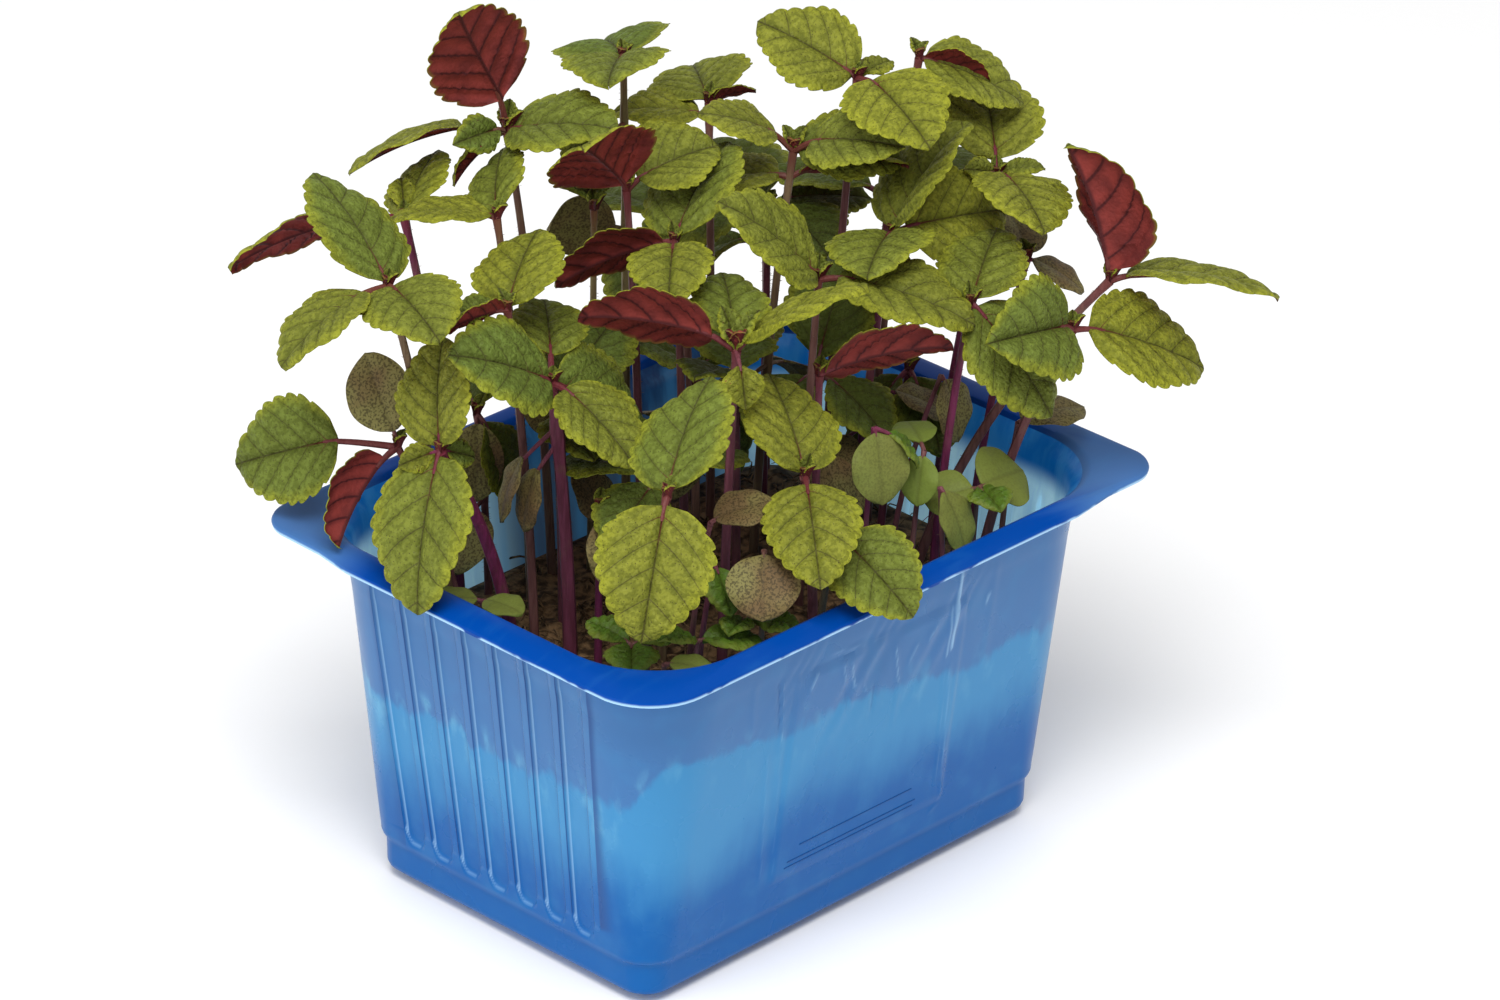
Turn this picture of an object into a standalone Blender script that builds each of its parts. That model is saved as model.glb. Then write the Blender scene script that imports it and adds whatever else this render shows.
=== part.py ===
"""Shiso cress in a blue plastic punnet: tub, growing medium and leafy stems, each its own object."""
import math

import bmesh
import bpy
from mathutils import Vector
from mathutils.bvhtree import BVHTree

MM = 0.001

# Punnet, in millimetres. The long side lies along X; the two eared corners are (-,+) and (+,-).
FLUTE_DEPTH = 0.8
FLUTES = 7
# Across one flute: where its ridge, the start of its floor and the floor's end lie.
FLUTE_STATIONS = (0.0, 0.16, 0.84)
# Points along each long side, and how far round a corner its first point lies, in steps.
LONG_STATIONS = (0.14, 0.35, 0.65, 0.86)
CORNER_STEPS = 4
CORNER_START = 0.25
EAR_CORNERS = ((1, -1), (-1, 1))
LIP_DROP = 1.2
EAR_FLAT = 16.0
LIP_BLEND = 8.0
# Rings of the shell: half length, half width, corner radius at the ears, at the other two
# corners, height, half reach of the fluted span, flute depth share.
SHELL = (
    (50.4, 33.8, 5.0, 5.0, 2.0, 25.0, 0),
    (51.0, 34.4, 5.5, 5.5, 2.9, 25.0, 0),
    (51.3, 34.7, 6.0, 6.0, 8.2, 25.0, 0),
    (52.2, 35.6, 7.0, 7.0, 9.2, 25.0, 1),
    (58.5, 41.9, 16.0, 16.0, 60.0, 27.0, 1),
    (58.8, 42.2, 16.5, 16.5, 61.6, 27.0, 0),
    (59.4, 42.8, 18.0, 18.0, 67.0, 27.0, 0),
    (61.8, 46.2, 19.9, 19.9, 71.1, 27.0, 0),
    (66.0, 49.1, 8.0, 12.0, 71.1, 34.0, 0),
    (66.0, 49.1, 8.0, 12.0, 72.0, 34.0, 0),
    (60.9, 45.3, 19.0, 19.0, 72.0, 0.0, None),
    (58.1, 41.5, 17.0, 17.0, 67.2, 0.0, None),
    (50.2, 33.6, 5.5, 5.5, 9.6, 0.0, None),
    (48.8, 32.2, 4.5, 4.5, 3.2, 0.0, None),
)
LIP_RINGS = (8, 9)
WALL_FOOT, WALL_HEAD = SHELL[3], SHELL[4]
FLANGE_X, FLANGE_Y = SHELL[9][:2]
PANEL_HALF = 22.0
PANEL_LOW = 15.0
PANEL_HIGH = 58.0
PANEL_PROUD = 0.4
PANEL_SUNK = 0.5
# The raised foot under the base: half length and half width, its top inside the shell, its chamfer,
# and where its long edges are split, so that no edge of a face runs through the origin.
FOOT_X = 48.5
FOOT_Y = 22.0
FOOT_TOP = 2.5
FOOT_CHAMFER = 0.4
FOOT_SPLIT = 12.0

# Growing medium.
MEDIUM_TOP = 47.0
MEDIUM_RINGS = ((47.9, 31.3, 4.5, 3.7), (49.6, 33.0, 5.5, 9.9), (54.8, 38.2, 12.5, MEDIUM_TOP - 0.8),
                (54.2, 37.6, 12.3, MEDIUM_TOP))
ROOT_DEPTH = 9.0
ROOT_GAP = 0.3
# Stems stand upright to this height over the medium, and leaves stay above it.
COLLAR = 1.0

# Stems and leaves.
STEM_SIDES = 5
HOLE_SIDES = 4
STEM_STEPS = 3
STEM_TAPER = 0.72
# Where a stem's bend lies between foot and crown: its share of the way across and of the way up.
STEM_BEND_OUT = 0.25
STEM_BEND_UP = 0.55
PETIOLE_RISE = 20.0
PETIOLE_STEEPEST = 80.0
PETIOLE_HALF = 0.55
BLADE = 0.7
CLEARANCE = 0.35
DROOP = math.radians(25.0)
# Outline powers of a true leaf, a young leaf and a seed leaf.
OUTLINE = {"leaf": (0.64, 0.68), "young": (0.78, 0.9), "seed": (0.9, 0.6)}
# Stations along the blade and how far each margin tooth or notch stands from the plain outline.
MARGIN = {
    "leaf": ((0.06, 1.0), (0.22, 1.1), (0.4, 0.93), (0.58, 1.1), (0.8, 1.16)),
    "young": ((0.1, 1.0), (0.35, 1.08), (0.55, 0.92), (0.78, 1.1)),
    "seed": ((0.08, 1.0), (0.3, 1.0), (0.55, 1.0), (0.8, 1.0), (0.95, 1.0)),
}
MIDRIB = (0.27, 0.6)
# Margin stations up to this share fan out from the first point of the midrib, the rest from its second.
MIDRIB_SPLIT = 0.535
# How much the fold flattens out towards the edge.
FOLD_EASE = 0.9
# Small turns, in degrees, tried in this order until a blade hangs clear of its neighbours.
TRIALS = [(0, 0)] + [(step * a, step * b) for step in (6, 12, 18, 26, 34, 44, 56, 70)
                     for a, b in ((0, -1), (0, 1), (1, 0), (-1, 0), (1, -1), (-1, -1), (1, 1), (-1, 1))]

# Plants: root x and y, crown x, y and z, stem radius, in millimetres, then the leaves, each with its
# kind, share of the stem at which it leaves, heading, pitch and roll (degrees), length, width and
# petiole (millimetres), and how far its two halves fold up from the midrib (degrees).
PLANTS = (
    ("shiso_01", (-10, 31), (-12, 41, 132), 0.9, (
        ("leaf", 1, 175, 60, 75, 27, 18, 7, 12), ("leaf", 1, 140, -10, 20, 22, 18, 8, 12),
        ("leaf", 1, 290, 22, 10, 21, 19, 1, 12), ("young", 1, 190, 10, -50, 11, 7, 3, 12),
        ("young", 1, 155, -35, 40, 11, 8, 3, 12),
        ("seed", 0.42, 240, -15, 0, 12, 11, 5, 8), ("seed", 0.42, 30, -15, 0, 12, 11, 5, 8))),
    ("shiso_02", (-22, 24), (-28, 27, 125), 0.9, (
        ("leaf", 1, 135, 10, 10, 18, 17, 1, 12), ("leaf", 1, 50, 20, -40, 20, 12, 1, 12))),
    ("shiso_03", (-30, 34), (-34, 44, 121), 1.0, (
        ("leaf", 1, 15, 45, -30, 18, 12, 1, 5), ("young", 1, 50, 25, 0, 9, 5, 2, 12),
        ("leaf", 1, 140, -8, 42, 27, 17, 6, 5))),
    ("shiso_04", (-45, 20), (-55, 26, 121), 0.9, (
        ("leaf", 1, 78, 42, 20, 25, 19, 1, 0), ("leaf", 1, 170, -16, 15, 20, 18, 5, 12),
        ("leaf", 1, 250, 5, 10, 19, 17, 2, 12))),
    ("shiso_05", (-31, 14), (-38, 14, 115), 0.9, (
        ("leaf", 1, 38, 26, -15, 19, 16, 1, 5), ("leaf", 1, 165, 5, 50, 14, 9, 1, 12),
        ("young", 1, 120, -10, -30, 10, 6, 2, 12))),
    ("shiso_06", (-29, 7), (-34, 7, 102), 1.4, (
        ("leaf", 1, 175, 30, -45, 24, 18, 1, 12), ("leaf", 1, 340, -30, 40, 24, 20, 1, 12),
        ("leaf", 1, 275, -20, 0, 19, 16, 3, 12), ("leaf", 1, 60, 15, 5, 20, 13, 6, 12),
        ("seed", 0.82, 150, -60, 0, 13, 8, 8, 8), ("seed", 0.76, 165, -65, 0, 12, 8, 6, 8))),
    ("shiso_07", (-37, 13), (-55, 13, 94), 1.3, (
        ("leaf", 1, 65, 70, -60, 19, 16, 1, 20), ("leaf", 1, 205, -45, 20, 28, 20, 1, 12),
        ("young", 1, 340, -20, 50, 7, 5, 1, 12), ("young", 1, 150, -15, -50, 7, 5, 1, 12))),
    ("shiso_08", (-42, 20), (-51, 28, 88), 0.8, (
        ("leaf", 1, 120, -20, -60, 23, 18, 11, 12), ("leaf", 1, 165, -45, 60, 18, 13, 3, 40),
        ("seed", 1, 90, 55, -50, 15, 12, 3, 8))),
    ("shiso_09", (-34, -16), (-43, -30, 97), 1.0, (
        ("leaf", 1, 30, 42, -25, 24, 19, 1, 5), ("leaf", 1, 212, -45, -10, 24, 19, 2, 12))),
    ("shiso_10", (2, -23), (-11, -32, 90), 1.0, (
        ("leaf", 1, 60, 42, 20, 21, 18, 1, 5), ("leaf", 1, 230, -15, 5, 22, 16, 3, 5))),
    ("shiso_11", (-12, -14), (-12, -16, 109), 1.0, (
        ("leaf", 1, 330, 35, -20, 24, 18, 2, 5), ("young", 1, 235, -35, 0, 8, 7, 4, 12),
        ("leaf", 1, 115, 10, 55, 24, 19, 5, 12), ("leaf", 1, 50, 20, 5, 20, 13, 3, 12))),
    ("shiso_12", (0, 7), (-2, 9, 118), 0.9, (
        ("leaf", 1, 25, 35, -25, 24, 19, 1, 12), ("leaf", 1, 215, -5, 5, 19, 14, 4, 12),
        ("leaf", 1, 130, -15, 45, 21, 17, 2, 12),
        ("seed", 0.45, 215, -20, 0, 12, 11, 5, 8), ("seed", 0.45, 60, -15, 0, 12, 11, 5, 8))),
    ("shiso_13", (1, 19), (-2, 21, 124), 0.9, (
        ("leaf", 1, 185, 48, 50, 21, 19, 2, 20), ("leaf", 1, 335, 25, 15, 16, 18, 3, 20))),
    ("shiso_14", (11, 33), (13, 37, 140), 0.9, (
        ("leaf", 1, 58, -6, -10, 22, 20, 1, 12), ("leaf", 1, 215, 20, 10, 19, 18, 1, 15),
        ("leaf", 0.85, 200, -10, 0, 15, 15, 3, 12),
        ("seed", 0.62, 140, 5, 85, 13, 13, 2, 8))),
    ("shiso_15", (25, 25), (31, 33, 127), 0.9, (
        ("leaf", 1, 55, 5, -15, 21, 18, 1, 12), ("leaf", 1, 330, 20, -40, 8, 8, 1, 12),
        ("leaf", 0.96, 135, 12, 0, 16, 15, 2, 12))),
    ("shiso_16", (22, 11), (29, 10, 125.5), 0.9, (
        ("leaf", 1, 145, 30, -5, 15, 15, 5, 5), ("leaf", 1, 280, 20, 25, 19, 15, 5, 15),
        ("leaf", 0.93, 130, 0, 0, 15, 16, 2, 12), ("leaf", 0.93, 320, 16, -35, 20, 13, 2, 5),
        ("leaf", 1, 320, 3, 20, 19, 16, 1, 20),
        ("seed", 0.45, 190, -20, 0, 12, 11, 5, 8), ("seed", 0.45, 350, -15, 0, 12, 11, 5, 8))),
    ("shiso_17", (36, 7), (43, 8, 136), 0.9, (
        ("leaf", 1, 120, 32, -30, 20, 17, 1, 12), ("young", 1, 355, 15, 5, 8, 6, 1, 12),
        ("leaf", 1, 250, 0, 10, 22, 18, 6, 12))),
    ("shiso_18", (31, -5), (36, -8, 113), 0.9, (
        ("leaf", 1, 210, 15, 10, 22, 18, 2, 12), ("leaf", 1, 0, 60, -25, 24, 20, 1, 25),
        ("leaf", 1, 340, 5, 50, 21, 18, 3, 12),
        ("seed", 0.4, 190, -20, 0, 12, 11, 5, 8), ("seed", 0.5, 300, -15, 0, 12, 11, 5, 8))),
    ("shiso_19", (14, -8), (16, -9, 111), 0.9, (
        ("leaf", 1, 140, 40, -25, 24, 19, 1, 12), ("leaf", 1, 295, 0, 5, 26, 19, 4, 12),
        ("seed", 0.5, 235, -25, 0, 12, 11, 5, 8), ("seed", 0.5, 75, -15, 0, 12, 11, 5, 8))),
    ("shiso_20", (9, -16), (5, -20, 100), 0.9, (
        ("leaf", 1, 340, 25, -50, 24, 19, 1, 12),)),
    ("shiso_21", (48, -9), (58.5, -12.5, 119), 0.9, (
        ("leaf", 1, 50, 34, 5, 23, 18, 3, 12), ("leaf", 1, 245, 5, -10, 20, 17, 4, 12),
        ("young", 1, 310, 20, 5, 8, 6, 1, 12), ("young", 1, 150, 0, -50, 7, 5, 1, 12))),
    ("shiso_22", (47, 6), (56, 5, 137), 0.9, (
        ("leaf", 1, 308, -12, 10, 20, 17, 1, 12),
        ("leaf", 1, 320, -10, -45, 13, 10, 1, 12))),
    ("shiso_23", (33, -23), (33, -30, 108), 0.9, (
        ("leaf", 1, 30, 25, 0, 21, 15, 1, 5), ("leaf", 1, 283, -38, 15, 24, 18, 1, 0))),
    ("shiso_24", (48, -18), (58, -21, 105.5), 0.8, (
        ("seed", 1, 70, 30, 15, 12, 11, 1, 8), ("seed", 1, 295, -14, -5, 11, 10, 1, 8))),
    ("shiso_25", (36, -16), (61, -38, 106), 1.0, (
        ("leaf", 1, 80, 75, 85, 25, 22, 2, 35), ("leaf", 1, 315, 5, -15, 28, 19, 3, 12))),
    ("shiso_26", (39, -28), (49, -40, 101), 1.0, (
        ("leaf", 1, 195, 18, -60, 23, 18, 3, 30), ("leaf", 1, 325, -15, 25, 25, 20, 3, 12))),
    ("shiso_27", (-5, -30), (-11, -40, 81.5), 0.8, (
        ("leaf", 1, 270, -20, 20, 19, 16, 1, 12),)),
    ("shiso_28", (40, 26), (46, 32, 102), 0.9, (
        ("young", 1, 70, 15, 0, 24, 19, 3, 12), ("young", 1, 250, 10, 0, 22, 17, 3, 12),
        ("young", 1, 318, 10, 10, 17, 15, 3, 12), ("young", 1, 155, 0, -10, 22, 17, 4, 12))),
    ("shiso_29", (30, 34), (32, 42, 100), 0.9, (
        ("young", 1, 85, 0, 0, 24, 19, 3, 12), ("young", 1, 200, -25, 10, 22, 17, 3, 12))),
    ("shiso_30", (50, 10), (58, 13, 106), 0.9, (
        ("young", 1, 10, 10, 0, 24, 19, 3, 12), ("young", 1, 115, 10, 5, 22, 17, 4, 12),
        ("young", 1, 245, 35, 5, 18, 15, 3, 12))),
    ("shiso_31", (48, 33), (54, 40, 90), 0.9, (
        ("young", 1, 40, 0, 0, 25, 19, 3, 12), ("young", 1, 130, -20, 0, 22, 17, 4, 12),
        ("young", 1, 310, -15, 0, 22, 17, 4, 12))),
    ("shiso_32", (14, 18), (15, 20, 82), 0.9, (
        ("young", 1, 350, 25, 0, 18, 15, 3, 12), ("young", 1, 150, 14, 0, 20, 17, 3, 12),
        ("young", 1, 255, -25, 0, 17, 15, 3, 12))),
    ("shiso_33", (-19, -6), (-21, -7, 84), 0.9, (
        ("young", 1, 100, 0, 0, 20, 16, 3, 12), ("young", 1, 0, 0, 0, 20, 16, 3, 12),
        ("young", 1, 190, -25, 0, 16, 14, 2, 12))),
    ("shiso_34", (26, 1), (26, 0, 86), 0.9, (
        ("young", 1, 45, 35, 0, 20, 17, 3, 12), ("young", 1, 195, -10, 0, 17, 14, 3, 12),
        ("young", 1, 285, -30, 0, 17, 14, 3, 12), ("seed", 0.6, 260, -30, 0, 13, 12, 4, 8))),
    ("shiso_35", (8, 2), (7, 2, 90), 0.9, (
        ("young", 1, 45, 10, 0, 17, 14, 3, 12), ("young", 1, 155, -10, 0, 17, 14, 3, 12),
        ("young", 1, 275, -20, 0, 17, 14, 3, 12))),
    ("shiso_36", (-22, 16), (-22, 18, 88), 0.9, (
        ("young", 1, 10, 32, 0, 23, 17, 3, 12), ("young", 1, 300, -5, 0, 16, 14, 3, 12),
        ("seed", 0.8, 285, -45, 0, 13, 11, 4, 8), ("young", 1, 215, -30, 0, 15, 13, 2, 12))),
    ("shiso_37", (-24, 33), (-28, 32, 85), 0.8, (
        ("seed", 1, 225, -55, 0, 14, 10, 2, 8), ("young", 1, 290, -15, 0, 16, 14, 2, 12),
        ("young", 1, 60, 10, 0, 16, 14, 2, 12), ("seed", 0.5, 200, -30, 0, 13, 12, 4, 8))),
    ("shiso_38", (43, -1), (45, -5, 82), 0.8, (
        ("young", 1, 160, 0, 0, 17, 14, 2, 12), ("young", 1, 250, -25, 0, 16, 14, 2, 12),
        ("seed", 0.5, 30, 0, 0, 13, 12, 4, 8))),
    ("shiso_39", (-4, 27), (-1, 30, 117), 0.8, (
        ("young", 1, 60, 20, 0, 12, 10, 2, 12),)),
    ("seedling_01", (-41, -20), (-43, -22, 65), 0.6, (
        ("young", 1, 225, 10, 0, 10, 9, 1, 12), ("young", 1, 100, 20, 0, 9, 8, 1, 12),
        ("young", 1, 340, 15, 0, 9, 8, 1, 12))),
    ("seedling_02", (-34, -28), (-35, -30, 66), 0.6, (
        ("young", 1, 320, 5, 0, 11, 9, 1, 12), ("young", 1, 170, 20, 0, 8, 7, 1, 12))),
    ("seedling_03", (-25, -32), (-26, -33, 68), 0.6, (
        ("young", 1, 315, 5, 0, 9, 8, 1, 12), ("young", 1, 200, 15, 0, 7, 6, 1, 12))),
    ("seedling_04", (-29, -24), (-29, -28, 78), 0.6, (
        ("young", 1, 250, -35, 0, 9, 7, 1, 12),)),
    ("seedling_05", (-20, -31), (-24, -35, 81.5), 0.6, (
        ("seed", 1, 223, -35, 0, 12, 13, 1, 8),)),
    ("seedling_06", (-26, -19), (-28, -26, 85), 0.6, (
        ("seed", 1, 335, 18, 10, 12, 10, 1, 8),)),
    ("seedling_07", (-43, -28), (-45, -32, 66), 0.6, (
        ("seed", 1, 310, 0, 0, 9, 8, 1, 8),)),
    ("seedling_08", (13, -24), (13, -26, 89), 0.6, (
        ("seed", 1, 245, -60, 0, 13, 11, 1, 8), ("young", 1, 320, -40, 0, 9, 6, 3, 12))),
    ("seedling_09", (22, -27), (23, -29, 82), 0.6, (
        ("seed", 1, 215, -55, 0, 9, 7, 1, 8), ("seed", 1, 60, 10, 0, 9, 8, 2, 8))),
    ("seedling_10", (24, -34), (22, -34, 77), 0.6, (
        ("seed", 1, 265, -40, 0, 12, 9, 1, 8),)),
    ("seedling_11", (32, -33), (31, -35, 74), 0.6, (
        ("seed", 1, 5, 5, 35, 11, 13, 1, 8), ("seed", 1, 165, 10, -30, 9, 10, 1, 8),
        ("young", 1, 250, 0, 0, 8, 8, 1, 12))),
    ("seedling_12", (32, -13), (37, -20, 89), 0.6, (
        ("seed", 1, 280, -50, 0, 12, 11, 1, 8),)),
    ("seedling_13", (50, -24), (48, -29, 79), 0.6, (
        ("seed", 1, 350, 5, 10, 15, 10, 1, 8),)),
    ("seedling_14", (-30, -1), (-31, -2, 80), 0.8, (
        ("seed", 1, 250, -55, 0, 13, 9, 2, 8), ("seed", 1, 335, -5, 0, 10, 8, 3, 8))),
    ("seedling_15", (-42, 15), (-45, 13, 61), 0.6, (
        ("seed", 1, 140, 10, 0, 9, 8, 1, 8), ("seed", 1, 280, 10, 0, 8, 8, 1, 8))),
)


def clear_scene():
    for obj in list(bpy.data.objects):
        bpy.data.objects.remove(obj, do_unlink=True)


def plain_material(name, colour, roughness, alpha=1.0):
    material = bpy.data.materials.new(name)
    material.use_nodes = True
    shader = material.node_tree.nodes["Principled BSDF"]
    shader.inputs["Base Color"].default_value = (*colour, 1.0)
    shader.inputs["Roughness"].default_value = roughness
    shader.inputs["Alpha"].default_value = alpha
    return material


def solid(name, points, faces, material):
    """A mesh object from millimetre points, with its faces turned outward."""
    mesh = bpy.data.meshes.new(name)
    mesh.from_pydata([tuple(c * MM for c in p) for p in points], [], faces)
    work = bmesh.new()
    work.from_mesh(mesh)
    bmesh.ops.recalc_face_normals(work, faces=work.faces)
    bmesh.ops.triangulate(work, faces=work.faces)
    work.to_mesh(mesh)
    work.free()
    obj = bpy.data.objects.new(name, mesh)
    obj.data.materials.append(material)
    bpy.context.scene.collection.objects.link(obj)
    return obj


def combine(obj, tools, operation):
    """Join the tool objects to an object, or cut them out of it, and drop the tools."""
    group = bpy.data.collections.new(obj.name + "_tools")
    bpy.context.scene.collection.children.link(group)
    for tool in tools:
        bpy.context.scene.collection.objects.unlink(tool)
        group.objects.link(tool)
        tool.hide_render = True
        tool.display_type = "WIRE"
    modifier = obj.modifiers.new("tools", "BOOLEAN")
    modifier.operation = operation
    modifier.operand_type = "COLLECTION"
    modifier.collection = group
    modifier.solver = "EXACT"
    bpy.context.view_layer.update()
    result = bpy.data.meshes.new_from_object(obj.evaluated_get(bpy.context.evaluated_depsgraph_get()))
    obj.modifiers.remove(modifier)
    obj.data = result
    for tool in tools:
        bpy.data.objects.remove(tool, do_unlink=True)
    bpy.data.collections.remove(group)


def corner_arc(half_x, half_y, radius, side_x, side_y, start):
    """Points round one corner, from the end of its X side to the start of its Y side."""
    points = []
    for step in range(CORNER_STEPS + 1):
        angle = start + (math.pi / 2 - start) * max(step, CORNER_START) / CORNER_STEPS
        points.append((side_x * (half_x - radius + radius * math.cos(angle)),
                       side_y * (half_y - radius + radius * math.sin(angle))))
    return points


def shell_ring(half_x, half_y, ear, plain, height, reach, flute):
    """One closed ring of the punnet shell, counter-clockwise from the +X side.

    A ring whose flute value is None lies inside, where the long flat stretches need no points.
    """
    radius = {(sx, sy): ear if (sx, sy) in EAR_CORNERS else plain for sx in (-1, 1) for sy in (-1, 1)}

    def x_side(sx):
        if flute is None:
            return []
        points = []
        for k in range(3 * FLUTES + 1):
            share = (k // 3 + FLUTE_STATIONS[k % 3]) / FLUTES
            y = reach * (2 * share - 1)
            sy = 1 if y > 0 else -1
            past = max(0.0, abs(y) - (half_y - radius[(sx, sy)]))
            inset = radius[(sx, sy)] - math.sqrt(radius[(sx, sy)] ** 2 - past ** 2)
            inset += FLUTE_DEPTH * flute * (k % 3 > 0)
            points.append((sx * (half_x - inset), y))
        return points

    def start(sx, sy):
        if flute is None:
            return 0.0
        past = max(0.0, reach - (half_y - radius[(sx, sy)]))
        return math.asin(past / radius[(sx, sy)])

    def y_side(sy):
        if flute is None:
            return []
        low, high = -(half_x - radius[(-1, sy)]), half_x - radius[(1, sy)]
        return [(low + (high - low) * share, sy * half_y) for share in LONG_STATIONS]

    def corner(sx, sy):
        return corner_arc(half_x, half_y, radius[(sx, sy)], sx, sy, start(sx, sy))

    ring = x_side(1) + corner(1, 1) + y_side(1)[::-1] + corner(-1, 1)[::-1]
    ring += x_side(-1)[::-1] + corner(-1, -1) + y_side(-1) + corner(1, -1)[::-1]
    return [(x, y, height) for x, y in ring]


def lip_drop(x, y):
    """How far the lip falls at its outer edge on the two sides away from the flat ears."""
    if x / FLANGE_X + y / FLANGE_Y > 0:
        return 0.0
    ear = min(math.hypot(x - FLANGE_X * sx, y - FLANGE_Y * sy) for sx, sy in EAR_CORNERS)
    return LIP_DROP * min(1.0, max(0.0, (ear - EAR_FLAT) / LIP_BLEND))


def wall_half_width(z):
    """Half width of the punnet's outer wall at a height."""
    share = (z - WALL_FOOT[4]) / (WALL_HEAD[4] - WALL_FOOT[4])
    return WALL_FOOT[1] + share * (WALL_HEAD[1] - WALL_FOOT[1])


def band(faces, first, second, count):
    """Quads between two rings with the same number of points."""
    for k in range(count):
        n = (k + 1) % count
        faces.append((first + k, first + n, second + n, second + k))


def lace(points, faces, first, second):
    """Join two rings with different numbers of points by triangles, in order of angle."""
    def angles(ring):
        values = [math.atan2(points[k][1], points[k][0]) for k in ring]
        return [value + 2 * math.pi * (value < values[0]) for value in values] + [values[0] + 2 * math.pi]

    first_angles, second_angles = angles(first), angles(second)
    i = j = 0
    while i < len(first) or j < len(second):
        a, b = first[i % len(first)], second[j % len(second)]
        if j == len(second) or (i < len(first) and first_angles[i + 1] <= second_angles[j + 1]):
            faces.append((a, first[(i + 1) % len(first)], b))
            i += 1
        else:
            faces.append((a, second[(j + 1) % len(second)], b))
            j += 1


BOX_FACES = ((0, 1, 2, 3), (4, 5, 6, 7), (0, 1, 5, 4), (1, 2, 6, 5), (2, 3, 7, 6), (3, 0, 4, 7))
FOOT_FACES = ((0, 1, 4, 5), (1, 2, 3, 4), (6, 7, 10, 11), (7, 8, 9, 10), (0, 1, 7, 6), (1, 2, 8, 7),
              (2, 3, 9, 8), (3, 4, 10, 9), (4, 5, 11, 10), (5, 0, 6, 11))


def build_tub():
    """The punnet: one shell with its flange, flutes, panels and foot."""
    points, faces, rings = [], [], []
    for index, row in enumerate(SHELL):
        ring = shell_ring(*row)
        if index in LIP_RINGS:
            ring = [(x, y, z - lip_drop(x, y)) for x, y, z in ring]
        rings.append(list(range(len(points), len(points) + len(ring))))
        points += ring
    for first, second in zip(rings, rings[1:]):
        if len(first) == len(second):
            band(faces, first[0], second[0], len(first))
        else:
            lace(points, faces, first, second)
    faces.append(tuple(rings[0]))
    faces.append(tuple(rings[-1]))
    tub = solid("tub", points, faces, plain_material("tub_plastic", (0.03, 0.17, 0.5), 0.3, 0.85))
    tools = []
    for side in (-1, 1):
        panel = []
        for z in (PANEL_LOW, PANEL_HIGH):
            inner, outer = side * (wall_half_width(z) - PANEL_SUNK), side * (wall_half_width(z) + PANEL_PROUD)
            panel += [(-PANEL_HALF, inner, z), (PANEL_HALF, inner, z),
                      (PANEL_HALF, outer, z), (-PANEL_HALF, outer, z)]
        tools.append(solid("panel", panel, BOX_FACES, tub.data.materials[0]))
    foot = []
    for z, inset in ((0.0, FOOT_CHAMFER), (FOOT_TOP, 0.0)):
        x, y = FOOT_X - inset, FOOT_Y - inset
        foot += [(-x, -y, z), (FOOT_SPLIT, -y, z), (x, -y, z), (x, y, z), (FOOT_SPLIT, y, z), (-x, y, z)]
    tools.append(solid("foot", foot, FOOT_FACES, tub.data.materials[0]))
    combine(tub, tools, "UNION")
    return tub


def build_medium(roots):
    """The block of growing medium, with a plain hole for each stem."""
    points, faces = [], []
    for half_x, half_y, radius, height in MEDIUM_RINGS:
        ring = []
        for side_x, side_y, turn in ((1, 1, 1), (-1, 1, -1), (-1, -1, 1), (1, -1, -1)):
            ring += corner_arc(half_x, half_y, radius, side_x, side_y, 0.0)[::turn]
        points += [(x, y, height) for x, y in ring]
    count = len(points) // len(MEDIUM_RINGS)
    for index in range(len(MEDIUM_RINGS) - 1):
        band(faces, index * count, (index + 1) * count, count)
    faces.append(tuple(range(count)))
    faces.append(tuple(range(len(points) - count, len(points))))
    medium = solid("growing_medium", points, faces, plain_material("medium_fibre", (0.32, 0.19, 0.09), 0.9))
    holes = []
    for (x, y), radius in roots:
        line = [Vector((x, y, MEDIUM_TOP - ROOT_DEPTH - ROOT_GAP)), Vector((x, y, MEDIUM_TOP + COLLAR))]
        half = (radius + ROOT_GAP) * math.sqrt(2.0)
        holes.append(solid("hole", *tube(line, [half] * 2, HOLE_SIDES), medium.data.materials[0]))
    combine(medium, holes, "DIFFERENCE")
    return medium


def tube(line, radii, sides):
    """A closed tube with flat sides along a line of points."""
    points, faces = [], []
    for index, centre in enumerate(line):
        ahead = line[min(index + 1, len(line) - 1)] - line[max(index - 1, 0)]
        ahead.normalize()
        side = ahead.cross(Vector((0.0, 1.0, 0.0))).normalized()
        other = ahead.cross(side)
        for k in range(sides):
            angle = 2 * math.pi * k / sides
            points.append(centre + (side * math.cos(angle) + other * math.sin(angle)) * radii[index])
    for index in range(len(line) - 1):
        band(faces, index * sides, (index + 1) * sides, sides)
    faces.append(tuple(range(sides)))
    faces.append(tuple(range(len(points) - sides, len(points))))
    return points, faces


def stem_point(root, crown, share):
    """A point on the stem's curve: it rises upright and leans over towards its crown."""
    low = Vector((root[0], root[1], MEDIUM_TOP + COLLAR))
    high = Vector(crown)
    bend = Vector((low.x + STEM_BEND_OUT * (high.x - low.x), low.y + STEM_BEND_OUT * (high.y - low.y),
                   low.z + STEM_BEND_UP * (high.z - low.z)))
    return low * (1 - share) ** 2 + bend * (2 * share * (1 - share)) + high * share ** 2


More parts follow.
